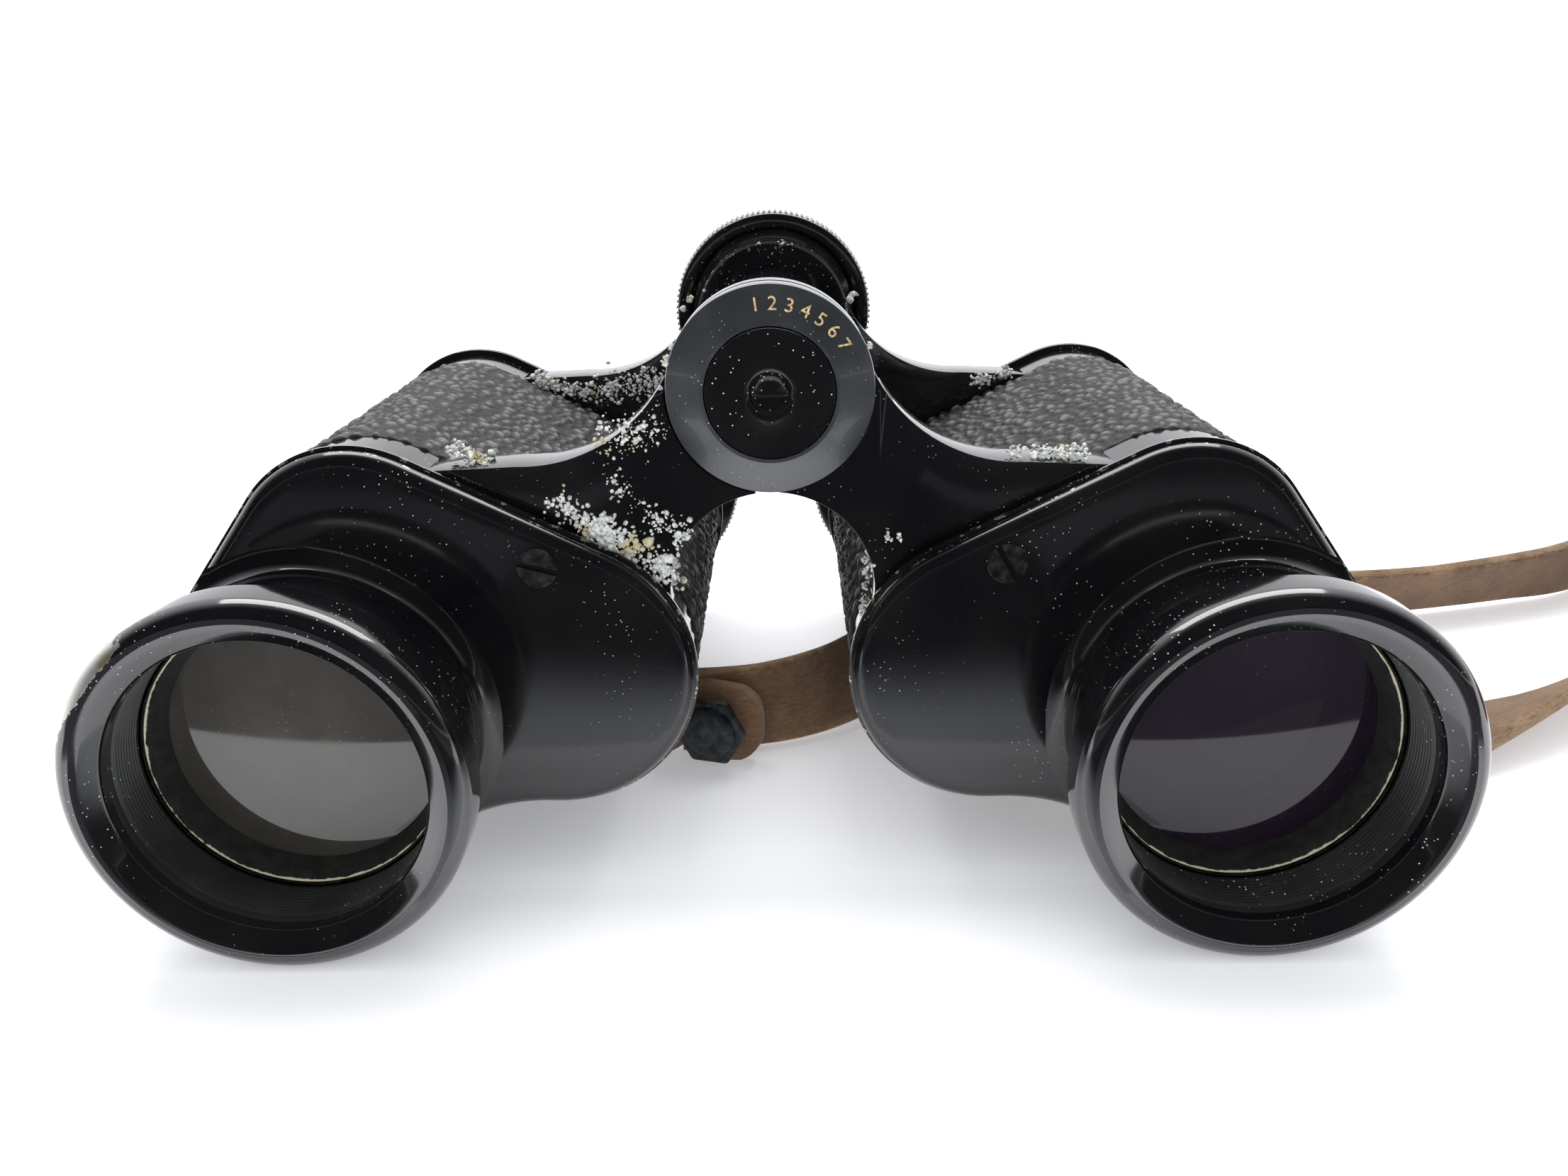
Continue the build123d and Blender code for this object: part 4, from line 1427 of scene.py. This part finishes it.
# ---- Focusing and eyepieces ----------------------------------------------------------
@dataclass
class Focusing:
    """The wheel, bridge and oculars."""

    wheel: Point = (82.7, 89.3)
    wheel_r: float = 15.0
    ridges: int = 110
    left_bridge: Point = (92.0, 95.0)
    right_bridge: Point = (95.2, 98.2)
    cup_start: float = 100.4
    cup_end: float = 112.0
    cup_r: float = 18.9

    def focus_wheel(self) -> None:
        """The wheel's body with its hollow face, and knurling by Geometry Nodes."""
        low, high = self.wheel
        r = self.wheel_r - 0.3
        shells = Shells.empty()
        shells.turn(
            (0, 0),
            rounded(
                [
                    (4.1, low), (9.2, low), (9.7, low + 0.8), (12.2, low + 0.8), (12.8, low),
                    (r, low), (r, high), (12.4, high), (12.0, high - 0.6), (4.1, high - 0.6),
                ],
                {4: 0.4, 5: 0.5, 6: 0.5, 7: 0.4}, 4,
            ),
            128,
        )
        body = shells.build("focus_wheel_body", ENAMEL)
        rim = knurl("focus_wheel_knurl", self.ridges, r, low + 0.5, high - 0.5, 0.62, SATIN)
        join(body, [rim])
        body.name = "focus_wheel_turned"
        settle(body, "focus_wheel", ["focus_wheel"])

    def bridge(self, side: Side) -> None:
        """An arm from the spindle to the ocular, with a collar round the tube."""
        low, high = self.left_bridge if side is Side.LEFT else self.right_bridge
        ox, oz = SECTION.ocular
        reach = math.hypot(ox, oz)
        across = Vector((-oz, ox)) / reach
        along = Vector((ox, oz)) / reach
        widths = ((1.0, 5.0), (reach * 0.5, 4.2), (reach - 11.8, 6.2))
        outline = [along * distance - across * half for distance, half in widths]
        outline += [along * distance + across * half for distance, half in reversed(widths)]
        shells = Shells.empty()
        shells.loft([np.array([(p.x, s, p.y) for p in outline]) for s in (low + 0.1, high - 0.1)], True)
        web = shells.mirrored(side).build(f"{side.word}_bridge_web", ENAMEL)
        bevelled(web, 0.5)
        bore = 12.55 if side is Side.RIGHT else 11.52
        rounds = Shells.empty()
        for centre, inner, outer, soft, segments in (
            ((0, 0), 2.65, 7.0, 0.4, 64), (SECTION.ocular, bore, 14.8, 0.5, 96)
        ):
            ring = [(inner, low), (outer, low), (outer, high), (inner, high)]
            rounds.turn(centre, rounded(ring, {1: soft, 2: soft}), segments)
        made = rounds.mirrored(side).build(f"{side.word}_bridge", ENAMEL)
        join(made, [web])
        settle(made, f"{side.word}_bridge", [f"{side.word}_bridge_arm"])

    def nut(self) -> None:
        """The round nut that closes the bridge."""
        profile = [
            (2.62, 98.3), (6.0, 98.3), (6.4, 98.6), (6.4, 100.4), (5.9, 100.9), (4.0, 101.4), (2.62, 101.5)
        ]
        on_axis("bridge_cap_nut", profile, 64, ENAMEL, "right_bridge", "bridge_nut")

    def eyecup(self, side: Side) -> None:
        """The eyecup with its grip ring and hollow."""
        start, end, r = self.cup_start, self.cup_end, self.cup_r
        profile = rounded(
            [
                (11.52, start), (r - 0.3, start), (r - 0.3, start + 3.6), (r - 1.0, start + 4.2), (17.4, end),
                (13.5, end), (13.3, 107.6), (8.0, 107.4), (8.0, 106.1), (11.52, 106.1),
            ],
            {1: 0.5, 2: 0.4, 3: 0.5, 4: 1.3, 5: 1.2, 6: 1.0, 7: 0.3}, 5,
        )
        shells = Shells.empty()
        shells.turn(
            SECTION.ocular, profile, 144,
            lambda radius, station, angle: np.where(station > end - 1.0, 0.16, 0.0),
        )
        made = shells.mirrored(side).build(f"{side.word}_cup", ENAMEL, 50)
        x, z = SECTION.ocular
        grip = knurl(
            f"{side.word}_cup_grip", 132, r - 0.3, start + 0.5, start + 3.1, 0.5, SATIN, (side.value * x, z)
        )
        join(made, [grip])
        settle(made, side.ocular_body, [f"{side.word}_eyecup"])

    def build(self) -> None:
        """Makes the wheel, bridge, nut and eyecups."""
        self.focus_wheel()
        for side in Side:
            self.bridge(side)
            self.eyecup(side)
        self.nut()


def knurl(
    name: str, count: int, radius: float, low: float, high: float, size: float, finish: Finish,
    centre: Point = (0.0, 0.0),
) -> bpy.types.Object:
    """A ring of straight ridges.

    Args:
        name: the name of the piece.
        count: how many ridges there are.
        radius: the radius that they stand on.
        low: the station where they start.
        high: the station where they end.
        size: how wide a ridge is.
        finish: their finish.
        centre: x and z of the axis.

    Returns:
        The ridges as one object.
    """
    turn = np.linspace(0, 2 * np.pi, count, endpoint=False)
    middle, half, wide = (low + high) / 2, (high - low) / 2, size / 2
    outline = [(-0.25, -wide), (0.16, -wide * 0.55), (0.3, 0.0), (0.16, wide * 0.55), (-0.25, wide)]
    ends = ((-half, 0.22), (-half + 0.25, 0.0), (half - 0.25, 0.0), (half, 0.22))
    points = []
    for y, drop in ends:
        points += [((x - (drop if x > 0 else 0)) * MM, y * MM, z * MM) for x, z in outline]
    n, rows = len(outline), len(ends)
    shape = template(f"{name}_ridge", np.array(points), lids(n, rows) + bands(n, rows), finish)
    turn_outward(shape.data, True)
    places = np.array([(x, middle, z) for x, z in circle(centre, radius, turn)])
    turns = np.stack([np.zeros(count), -turn, np.zeros(count)], 1)
    made = scatter(name, places, np.ones((count, 3)), turns, shape, finish)
    discard(shape)
    return made


# ---- Strap ---------------------------------------------------------------------------
@dataclass
class Strap:
    """The neck strap: its route on the table, the wound-up length, and the riveted tab."""

    width: float = 12.0
    thick: float = 1.9
    coil_centre: Point = (213.0, 84.0)
    clear: float = 0.75

    def route(self) -> list[tuple[float, float, float]]:
        """The route's points: x, station and how far the strap leans up, in degrees."""
        points = [
            (-12.6, 48.6, 88), (-5.6, 48.9, 85), (1.2, 51.2, 74), (7.0, 55.5, 62),
            (12.0, 61.0, 56), (21.0, 73.0, 64), (34.0, 85.0, 84), (52.0, 91.0, 106), (78.0, 92.5, 122),
            (105.0, 94.0, 125), (130.0, 100.5, 118), (150.0, 107.5, 98),
        ]
        points += self.coil_points()
        points += [
            (134.5, 68.5, 66), (122.0, 58.5, 48), (107.0, 50.8, 34), (84.0, 39.4, 6), (69.0, 31.4, 0),
            (57.8, 28.6, 2), (46.8, 30.4, 6), (37.4, 36.0, 14), (31.2, 44.4, 24), (28.6, 53.0, 30),
        ]
        return points

    def coil_points(self) -> list[tuple[float, float, float]]:
        """The put-away length: both strands wound together, with an S at the middle."""
        cx, cy = self.coil_centre
        half = 26.5
        made: list[tuple[float, float, float]] = []
        turns = np.linspace(math.radians(140), math.radians(-170), 19)
        for k, angle in enumerate(turns):
            radius = 62.0 - 9.0 * k / (len(turns) - 1)
            made.append((cx + radius * math.cos(angle), cy + radius * math.sin(angle), 90))
        for centre, start, end in ((-half, 170, 20), (half, 200, 350)):
            for angle in np.radians(np.linspace(start, end, 6)):
                made.append((cx + centre + half * math.cos(angle), cy + half * math.sin(angle), 90))
        back = np.linspace(math.radians(8), math.radians(138), 9)
        for k, angle in enumerate(back):
            radius = 53.0 + 3.5 * k / (len(back) - 1)
            made.append((cx + radius * math.cos(angle), cy + radius * math.sin(angle), 90))
        made += [(cx - 51.5, cy + 24.0, 90), (cx - 59.5, cy + 10.0, 90), (cx - 68.5, cy - 3.5, 82)]
        return made

    def lift(self, lean: float) -> float:
        """The height of the strap's middle above the table when it leans this much."""
        turn = math.radians(lean)
        return (self.width * math.sin(turn) + self.thick * abs(math.cos(turn))) / 2 + self.clear

    def line(self) -> tuple[np.ndarray, np.ndarray]:
        """Reads the smooth line of the route.

        Returns:
            The line's points in metres, and the lean at each of them in degrees.
        """
        route = self.route()
        curve = bpy.data.curves.new("strap_route", "CURVE")
        curve.dimensions = "3D"
        curve.resolution_u = 8
        spline = curve.splines.new("NURBS")
        spline.points.add(len(route) - 1)
        for point, (x, station, lean) in zip(spline.points, route):
            at = DATUM.at(x, station, 0)
            point.co = (at.x, at.y, self.lift(lean) * MM, 1.0)
        spline.order_u = 3
        spline.use_endpoint_u = True
        holder = linked("strap_route", curve)
        line = np.array([v.co for v in evaluated_mesh(holder).vertices])
        bpy.data.objects.remove(holder)
        share = np.linspace(0, len(route) - 1, len(line))
        leans = np.interp(share, np.arange(len(route)), [lean for _, _, lean in route])
        return line, leans

    def ribbon(self, pieces: Sequence[bpy.types.Object]) -> None:
        """The strap itself, one closed ribbon along its line; pieces, its tab and stud, are not used."""
        line, leans = self.line()
        half_w, half_t = self.width / 2 * MM, self.thick / 2 * MM
        across = rounded(
            [(-half_w, -half_t), (half_w, -half_t), (half_w, half_t), (-half_w, half_t)],
            {i: half_t * 0.55 for i in range(4)}, 2,
        )
        across = self.with_middles(across)
        tangents = np.gradient(line, axis=0)
        tangents /= np.linalg.norm(tangents, axis=1)[:, None]
        points, wear, uvs = [], [], []
        travelled = np.concatenate([[0], np.cumsum(np.linalg.norm(np.diff(line, axis=0), axis=1))])
        for at, tangent, lean, run in zip(line, tangents, leans, travelled):
            level = Vector((-tangent[1], tangent[0], 0)).normalized()
            turn = math.radians(lean)
            wide = level * math.cos(turn) + Vector((0, 0, math.sin(turn)))
            thin = Vector(tangent).cross(wide).normalized()
            for u, v in across:
                points.append(Vector(at) + wide * u + thin * v)
                wear.append(min(1.0, abs(u) / half_w) ** 6)
                uvs.append((run, u + v * 2))
        n, rows = len(across), len(line)
        faces = bands(n, rows) + lids(n, rows)
        made = self.leather_object("neck_strap", points, faces, wear, uvs, STRAP)
        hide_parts("strap_far", "strap_near", "strap_coil")
        DATUM.at(-6, 46, -50)
        DATUM.at(24, 46, -50)
        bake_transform(made)

    @staticmethod
    def with_middles(outline: list[Point]) -> list[Point]:
        """Adds points along the two long sides of the strap's section."""
        made: list[Point] = []
        for (u0, v0), (u1, v1) in zip(outline, outline[1:] + outline[:1]):
            made.append((u0, v0))
            if abs(u1 - u0) > 3 * abs(v1 - v0) and abs(u1 - u0) > MM:
                made += [(u0 + (u1 - u0) * s, v0 + (v1 - v0) * s) for s in (0.12, 0.3, 0.5, 0.7, 0.88)]
        return made

    @staticmethod
    def leather_object(
        name: str, points: Sequence[Vector], faces: Sequence[Sequence[int]], wear: Sequence[float],
        uvs: Sequence[Point], finish: Finish,
    ) -> bpy.types.Object:
        """Makes a leather mesh in metres with its own UV map along the strap."""
        mesh = new_mesh(name, points, faces, finish.material)
        layer = mesh.attributes.new("wear", "FLOAT", "POINT")
        layer.data.foreach_set("value", np.array(wear, np.float32))
        placed = mesh.uv_layers.new(name="strap")
        for loop in mesh.loops:
            placed.data[loop.index].uv = uvs[loop.vertex_index]
        turn_outward(mesh)
        mesh.shade_smooth()
        mesh.set_sharp_from_angle(angle=math.radians(60))
        return linked(name, mesh)

    def tab(self) -> list[bpy.types.Object]:
        """The doubled end on the left barrel: a darker back layer and a lighter front one."""
        return [
            self.flap("strap_tab_back", (-17.5, 52.4), (-11.8, 48.0), 0.0, 11.2, 0.1, STRAP),
            self.flap("strap_tab_front", (-13.6, 48.4), (-2.2, 44.2), -1.9, 11.6, 0.2, TAB),
        ]

    def flap(
        self, name: str, start: Point, end: Point, off: float, height: float, low: float, finish: Finish
    ) -> bpy.types.Object:
        """One upright piece of the tab with a rounded free end."""
        a, b = Vector(start), Vector(end)
        run = b - a
        normal = Vector((run.y, -run.x)).normalized()
        corner = height * 0.4
        corners = [(0, 0), (run.length, 0), (run.length, height), (0, height)]
        outline = rounded(corners, {1: corner, 2: corner}, 8)
        points, uvs = [], []
        layers = ((0.35, 0.0), (0.0, 0.3), (0.0, 1.5), (0.35, 1.8))
        for inset, depth in layers:
            for u, v in outline:
                uu = min(max(u, inset), run.length - inset)
                vv = min(max(v, inset), height - inset)
                bow = 0.72 * math.sin(math.pi * min(1.0, uu / run.length))
                flat = a + run.normalized() * uu + normal * (off + depth + bow)
                points.append(DATUM.at(flat.x, flat.y, 0))
                points[-1].z = (low + vv) * MM
                uvs.append((uu * MM, vv * MM))
        n, rows = len(outline), len(layers)
        faces = bands(n, rows) + lids(n, rows)
        made = self.leather_object(name, points, faces, [0.3] * len(points), uvs, finish)
        return settle(made, "left_barrel", ["strap_tab"])

    def stud(self) -> bpy.types.Object:
        """The dark stud's domed head on its six-sided patch."""
        face = Vector((-0.29, -0.957, 0)).normalized()
        right = Vector((-face.y, face.x, 0))
        centre = DATUM.at(-9.3, 42.6, 0)
        centre.z = 6.0 * MM
        points: list[Vector] = []
        faces: list[Sequence[int]] = []
        whole = circle((0, 0), 1.0, np.linspace(0, 2 * math.pi, 40, endpoint=False))
        dome = ((3.9, -1.2), (3.9, 0.15), (3.6, 0.5), (2.6, 0.78), (1.3, 0.9))
        patch = rounded(circle((0, 0), 5.2, np.radians(np.arange(0, 360, 60))), {i: 0.8 for i in range(6)}, 3)
        for outline, layers in ((whole, dome), (patch, ((1.0, -1.0), (1.0, 0.0), (0.93, 0.16)))):
            n, rows, first = len(outline), len(layers), len(points)
            faces += bands(n, rows, first) + lids(n, rows, first)
            for grow, height in layers:
                for u, v in outline:
                    flat = right * (u * grow * MM) + Vector((0, 0, v * grow * MM))
                    points.append(centre + flat + face * (height * MM))
        uvs = [(p.x, p.z) for p in points]
        made = self.leather_object("strap_rivet", points, faces, [0.0] * len(points), uvs, STUD)
        return settle(made, "left_barrel", ["strap_stud"])

    def build(self) -> None:
        """Makes the strap, its tab and its stud."""
        self.ribbon([*self.tab(), self.stud()])


# ---- Corrosion -----------------------------------------------------------------------
@dataclass(frozen=True)
class Patch:
    """A patch of crystals on a face across the hinge axis: ends, half width, count and size."""

    start: Point
    end: Point
    wide: float
    count: int
    size: float
    station: float
    depth: float = 0.0


@dataclass
class Corrosion:
    """Crystals that have grown where the arms meet the covers and the hinge."""

    seed: int = 41
    left: tuple[Patch, ...] = (
        Patch((-24.6, -11.6), (-18.8, -16.2), 1.5, 190, 0.36, 20.45),
        Patch((-19.5, -15.6), (-11.4, -20.6), 2.0, 420, 0.42, 20.45),
        Patch((-12.6, -19.0), (-11.0, -23.0), 1.0, 130, 0.4, 20.5, 4.0),
        Patch((-14.3, -13.6), (-9.6, -16.4), 1.6, 120, 0.3, 20.45),
        Patch((-20.0, -5.6), (-11.6, -4.0), 2.3, 210, 0.24, 20.45),
        Patch((-17.5, -9.5), (-14.5, -13.5), 1.5, 60, 0.25, 20.45),
        Patch((-36.3, -6.6), (-31.8, -8.6), 0.9, 130, 0.4, 21.5, 4.0),
        Patch((-36.4, -8.6), (-27.0, -11.2), 1.3, 330, 0.34, 75.3, 0.3),
        Patch((-27.0, -10.2), (-16.0, -9.0), 2.2, 420, 0.3, 75.4),
        Patch((-13.4, 1.6), (-12.0, 3.4), 0.4, 26, 0.42, 75.2),
        Patch((-11.2, 3.0), (-10.6, 4.9), 0.35, 22, 0.3, 20.3),
    )
    right: tuple[Patch, ...] = (
        Patch((26.4, -7.4), (34.6, -7.6), 0.6, 190, 0.36, 20.6, 3.5),
        Patch((30.0, -9.6), (35.6, -8.2), 0.9, 170, 0.34, 75.2, 0.4),
        Patch((10.4, -26.0), (11.4, -18.2), 0.55, 170, 0.34, 20.5, 4.0),
        Patch((12.4, -16.6), (14.6, -16.6), 1.2, 24, 0.26, 20.45),
        Patch((11.0, 2.6), (12.4, 4.0), 0.4, 22, 0.4, 75.2),
        Patch((10.2, 3.6), (10.8, 5.2), 0.3, 16, 0.3, 20.3),
    )

    def grow(self, name: str, body: str, patches: Sequence[Patch], seed: int) -> None:
        """Scatters the crystals of one barrel."""
        draw = np.random.default_rng(seed)
        places, sizes = [], []
        for patch in patches:
            a, b = np.array(patch.start), np.array(patch.end)
            run = b - a
            across = np.array([-run[1], run[0]]) / np.linalg.norm(run)
            knots = draw.random((max(3, patch.count // 14), 1))
            for _ in range(patch.count):
                knot = knots[draw.integers(len(knots))][0]
                share = np.clip(knot + draw.normal(0, 0.07), -0.05, 1.05)
                off = draw.normal(0, 0.5) * patch.wide
                x, z = a + run * share + across * off
                places.append((x, patch.station + draw.random() * patch.depth, z))
                size = patch.size * (0.35 + draw.gamma(2.0, 0.35))
                sizes.append(size * (0.8 + 0.5 * draw.random(3)))
        shape = crystal()
        turns = draw.random((len(places), 3)) * 2 * np.pi
        made = scatter(name, np.array(places), np.array(sizes), turns, shape, BLOOM)
        made.data.shade_smooth()
        discard(shape)
        settle(made, body, [])

    def build(self) -> None:
        """Makes the crystals of both barrels."""
        self.grow("left_corrosion", "left_barrel", self.left, self.seed)
        self.grow("right_corrosion", "right_barrel", self.right, self.seed + 1)


def crystal() -> bpy.types.Object:
    """A small uneven grain, a millimetre across before it is scaled."""
    work = bmesh.new()
    bmesh.ops.create_icosphere(work, subdivisions=1, radius=0.5 * MM)
    draw = np.random.default_rng(5)
    for vertex in work.verts:
        vertex.co *= 0.75 + 0.5 * draw.random()
    mesh = bpy.data.meshes.new("crystal")
    work.to_mesh(mesh)
    work.free()
    mesh.materials.append(BLOOM.material)
    return linked("crystal", mesh)


# ---- CAD nodes that stay -------------------------------------------------------------
KEPT: dict[str, Finish] = {
    "objective_cell": BRASS, "prism_shelf": BRASS, "front_prism": PRISM_GLASS, "rear_prism": PRISM_GLASS,
    "prism_clips": SPRING, "ocular_tube": BRASS, "eye_lens": EYE_GLASS, "field_lens": EYE_GLASS,
    "strap_post": BRASS, "hinge_axle": STEEL, "focus_spindle": STEEL, "dioptre_ring": BRASS,
}


def dress_kept(frame: dict[str, object]) -> None:
    """Gives every CAD node its finish, the hidden ones too."""
    nodes: dict[str, bpy.types.Object] = frame["nodes"]  # type: ignore[assignment]
    for name, node in nodes.items():
        plain = name.removeprefix("left_").removeprefix("right_")
        finish = KEPT.get(plain, ENAMEL)
        node.data.materials.clear()
        node.data.materials.append(finish.material)


# ---- Camera, floor and light ---------------------------------------------------------
@dataclass(frozen=True)
class Studio:
    """A pale floor, soft light from above and behind, and a low close camera."""

    stand: tuple[float, float, float] = (1.344, -113.01, 25.74)
    pitch: float = 19.91
    yaw: float = -0.03
    roll: float = 0.57
    lens: float = 28.74
    softbox: float = 7.0
    room: float = 1.05
    card_lift: float = 0.0006
    white: tuple[float, float, float] = (0.96, 0.97, 1.0)

    def camera(self) -> None:
        """Places the camera in front of the rims, looking a little down."""
        pitch, yaw, roll = (math.radians(v) for v in (self.pitch, self.yaw, self.roll))
        ahead = Vector((math.sin(yaw) * math.cos(pitch), math.cos(yaw) * math.cos(pitch), -math.sin(pitch)))
        level = Vector((math.cos(yaw), -math.sin(yaw), 0))
        down = ahead.cross(level)
        right = level * math.cos(roll) + down * math.sin(roll)
        below = down * math.cos(roll) - level * math.sin(roll)
        data = bpy.data.cameras.new("camera")
        data.sensor_width = 36.0
        data.lens = self.lens
        data.clip_start = 0.005
        made = linked("camera", data)
        turn = Matrix((right, -below, -ahead)).transposed().to_4x4()
        made.matrix_world = Matrix.Translation(DATUM.at(*self.stand)) @ turn
        bpy.context.scene.camera = made

    def floor(self) -> None:
        """A wide pale floor that glows a little, so that its shadows stay soft."""
        painter = Painter("floor")
        painter.done(
            Base_Color=(0.9, 0.9, 0.91), Roughness=0.8, Emission_Color=self.white, Emission_Strength=0.3
        )
        self.card("floor", [(-6, -6, 0), (6, -6, 0), (6, 6, 0), (-6, 6, 0)], painter.material)

    def card(
        self, name: str, corners: Sequence[Sequence[float]], material: bpy.types.Material
    ) -> bpy.types.Object:
        """A flat stage card in metres."""
        made = linked(name, new_mesh(name, corners, [range(len(corners))], material))
        return made

    def flag(self) -> None:
        """Painted shade seen only in reflections: dark cards laid in front stand in for the shaded table
        there; the middle one fades to black.
        """
        wing = [(55, -200), (150, -200), (150, -50), (92, -50), (60, -33.5), (55, -33.5)]
        field = [(-1200, -2000), (1200, -2000), (1200, -200), (-1200, -200)]
        sides = [(150, -200), (1200, -200), (1200, -50), (150, -50)]
        middle = [(-55, -200), (55, -200), (55, -14), (-55, -14)]
        for name, outline, shade in (
            ("right_wing", wing, 0.09),
            ("left_wing", [(-x, y) for x, y in reversed(wing)], 0.09),
            ("black_field", field, 0.004),
            ("right_side", sides, 0.05),
            ("left_side", [(-x, y) for x, y in reversed(sides)], 0.05),
            ("middle", middle, None),
        ):
            painter = Painter(name)
            tone: object = (shade, shade, shade * 1.1) if shade else self.fade(painter)
            painter.done(Base_Color=tone, Roughness=1.0)
            places = [DATUM.at(x, station, 0) for x, station in outline]
            corners = [(place.x, place.y, self.card_lift) for place in places]
            made = self.card(f"{name}_card", corners, painter.material)
            for ray in ("camera", "diffuse", "shadow", "transmission", "volume_scatter"):
                setattr(made, f"visible_{ray}", False)

    @staticmethod
    def fade(painter: Painter) -> Value:
        """Painted shade: from nearly white at the card's near edge to black further out."""
        along = painter.node("ShaderNodeSeparateXYZ", {}, {0: painter.place}, "Y")
        near, far = DATUM.at(0, -14, 0).y, DATUM.at(0, -62, 0).y
        share = along.ramp(far, near)
        return painter.mix(share**1.8, (0.003, 0.003, 0.0035), (0.75, 0.77, 0.8))

    def light(self) -> None:
        """A large softbox above and behind, and a white room whose reflection is dark in front."""
        data = bpy.data.lights.new("softbox", "AREA")
        data.shape = "RECTANGLE"
        data.size, data.size_y = 1.0, 0.5
        data.energy = self.softbox
        made = linked("softbox", data)
        made.location = (0.0, 0.3, 0.8)
        made.rotation_euler = (math.radians(-20), 0, 0)
        world = bpy.data.worlds.new("studio")
        bpy.context.scene.world = world
        world.use_nodes = True
        nodes, links = world.node_tree.nodes, world.node_tree.links
        place = nodes.new("ShaderNodeTexCoord")
        split = nodes.new("ShaderNodeSeparateXYZ")
        ramp = nodes.new("ShaderNodeMapRange")
        ramp.interpolation_type = "SMOOTHSTEP"
        for index, setting in ((1, -0.35), (2, 0.5), (3, 0.02), (4, 1.25)):
            ramp.inputs[index].default_value = setting
        seen = nodes.new("ShaderNodeLightPath")
        choose = nodes.new("ShaderNodeMix")
        choose.inputs[2].default_value = self.room
        back = nodes["Background"]
        back.inputs["Color"].default_value = (*self.white, 1.0)
        links.new(place.outputs["Generated"], split.inputs[0])
        links.new(split.outputs["Y"], ramp.inputs[0])
        links.new(seen.outputs["Is Glossy Ray"], choose.inputs[0])
        links.new(ramp.outputs[0], choose.inputs[3])
        links.new(choose.outputs[0], back.inputs["Strength"])
        bpy.context.scene.view_settings.view_transform = "Standard"

    def build(self) -> None:
        """Sets the stage."""
        self.camera()
        self.floor()
        self.flag()
        self.light()


def main() -> None:
    """Builds every piece in order."""
    global DATUM
    logging.basicConfig(level=logging.INFO, format="%(message)s")
    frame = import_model()
    DATUM = Datum.from_frame(RIM_FRONT)
    Studio().build()
    Strap().build()
    grain = grain_tree()
    dress_kept(frame)
    for side in Side:
        Barrel(side, grain).build()
    Hinge().build()
    Focusing().build()
    Corrosion().build()


if __name__ == "__main__":
    main()
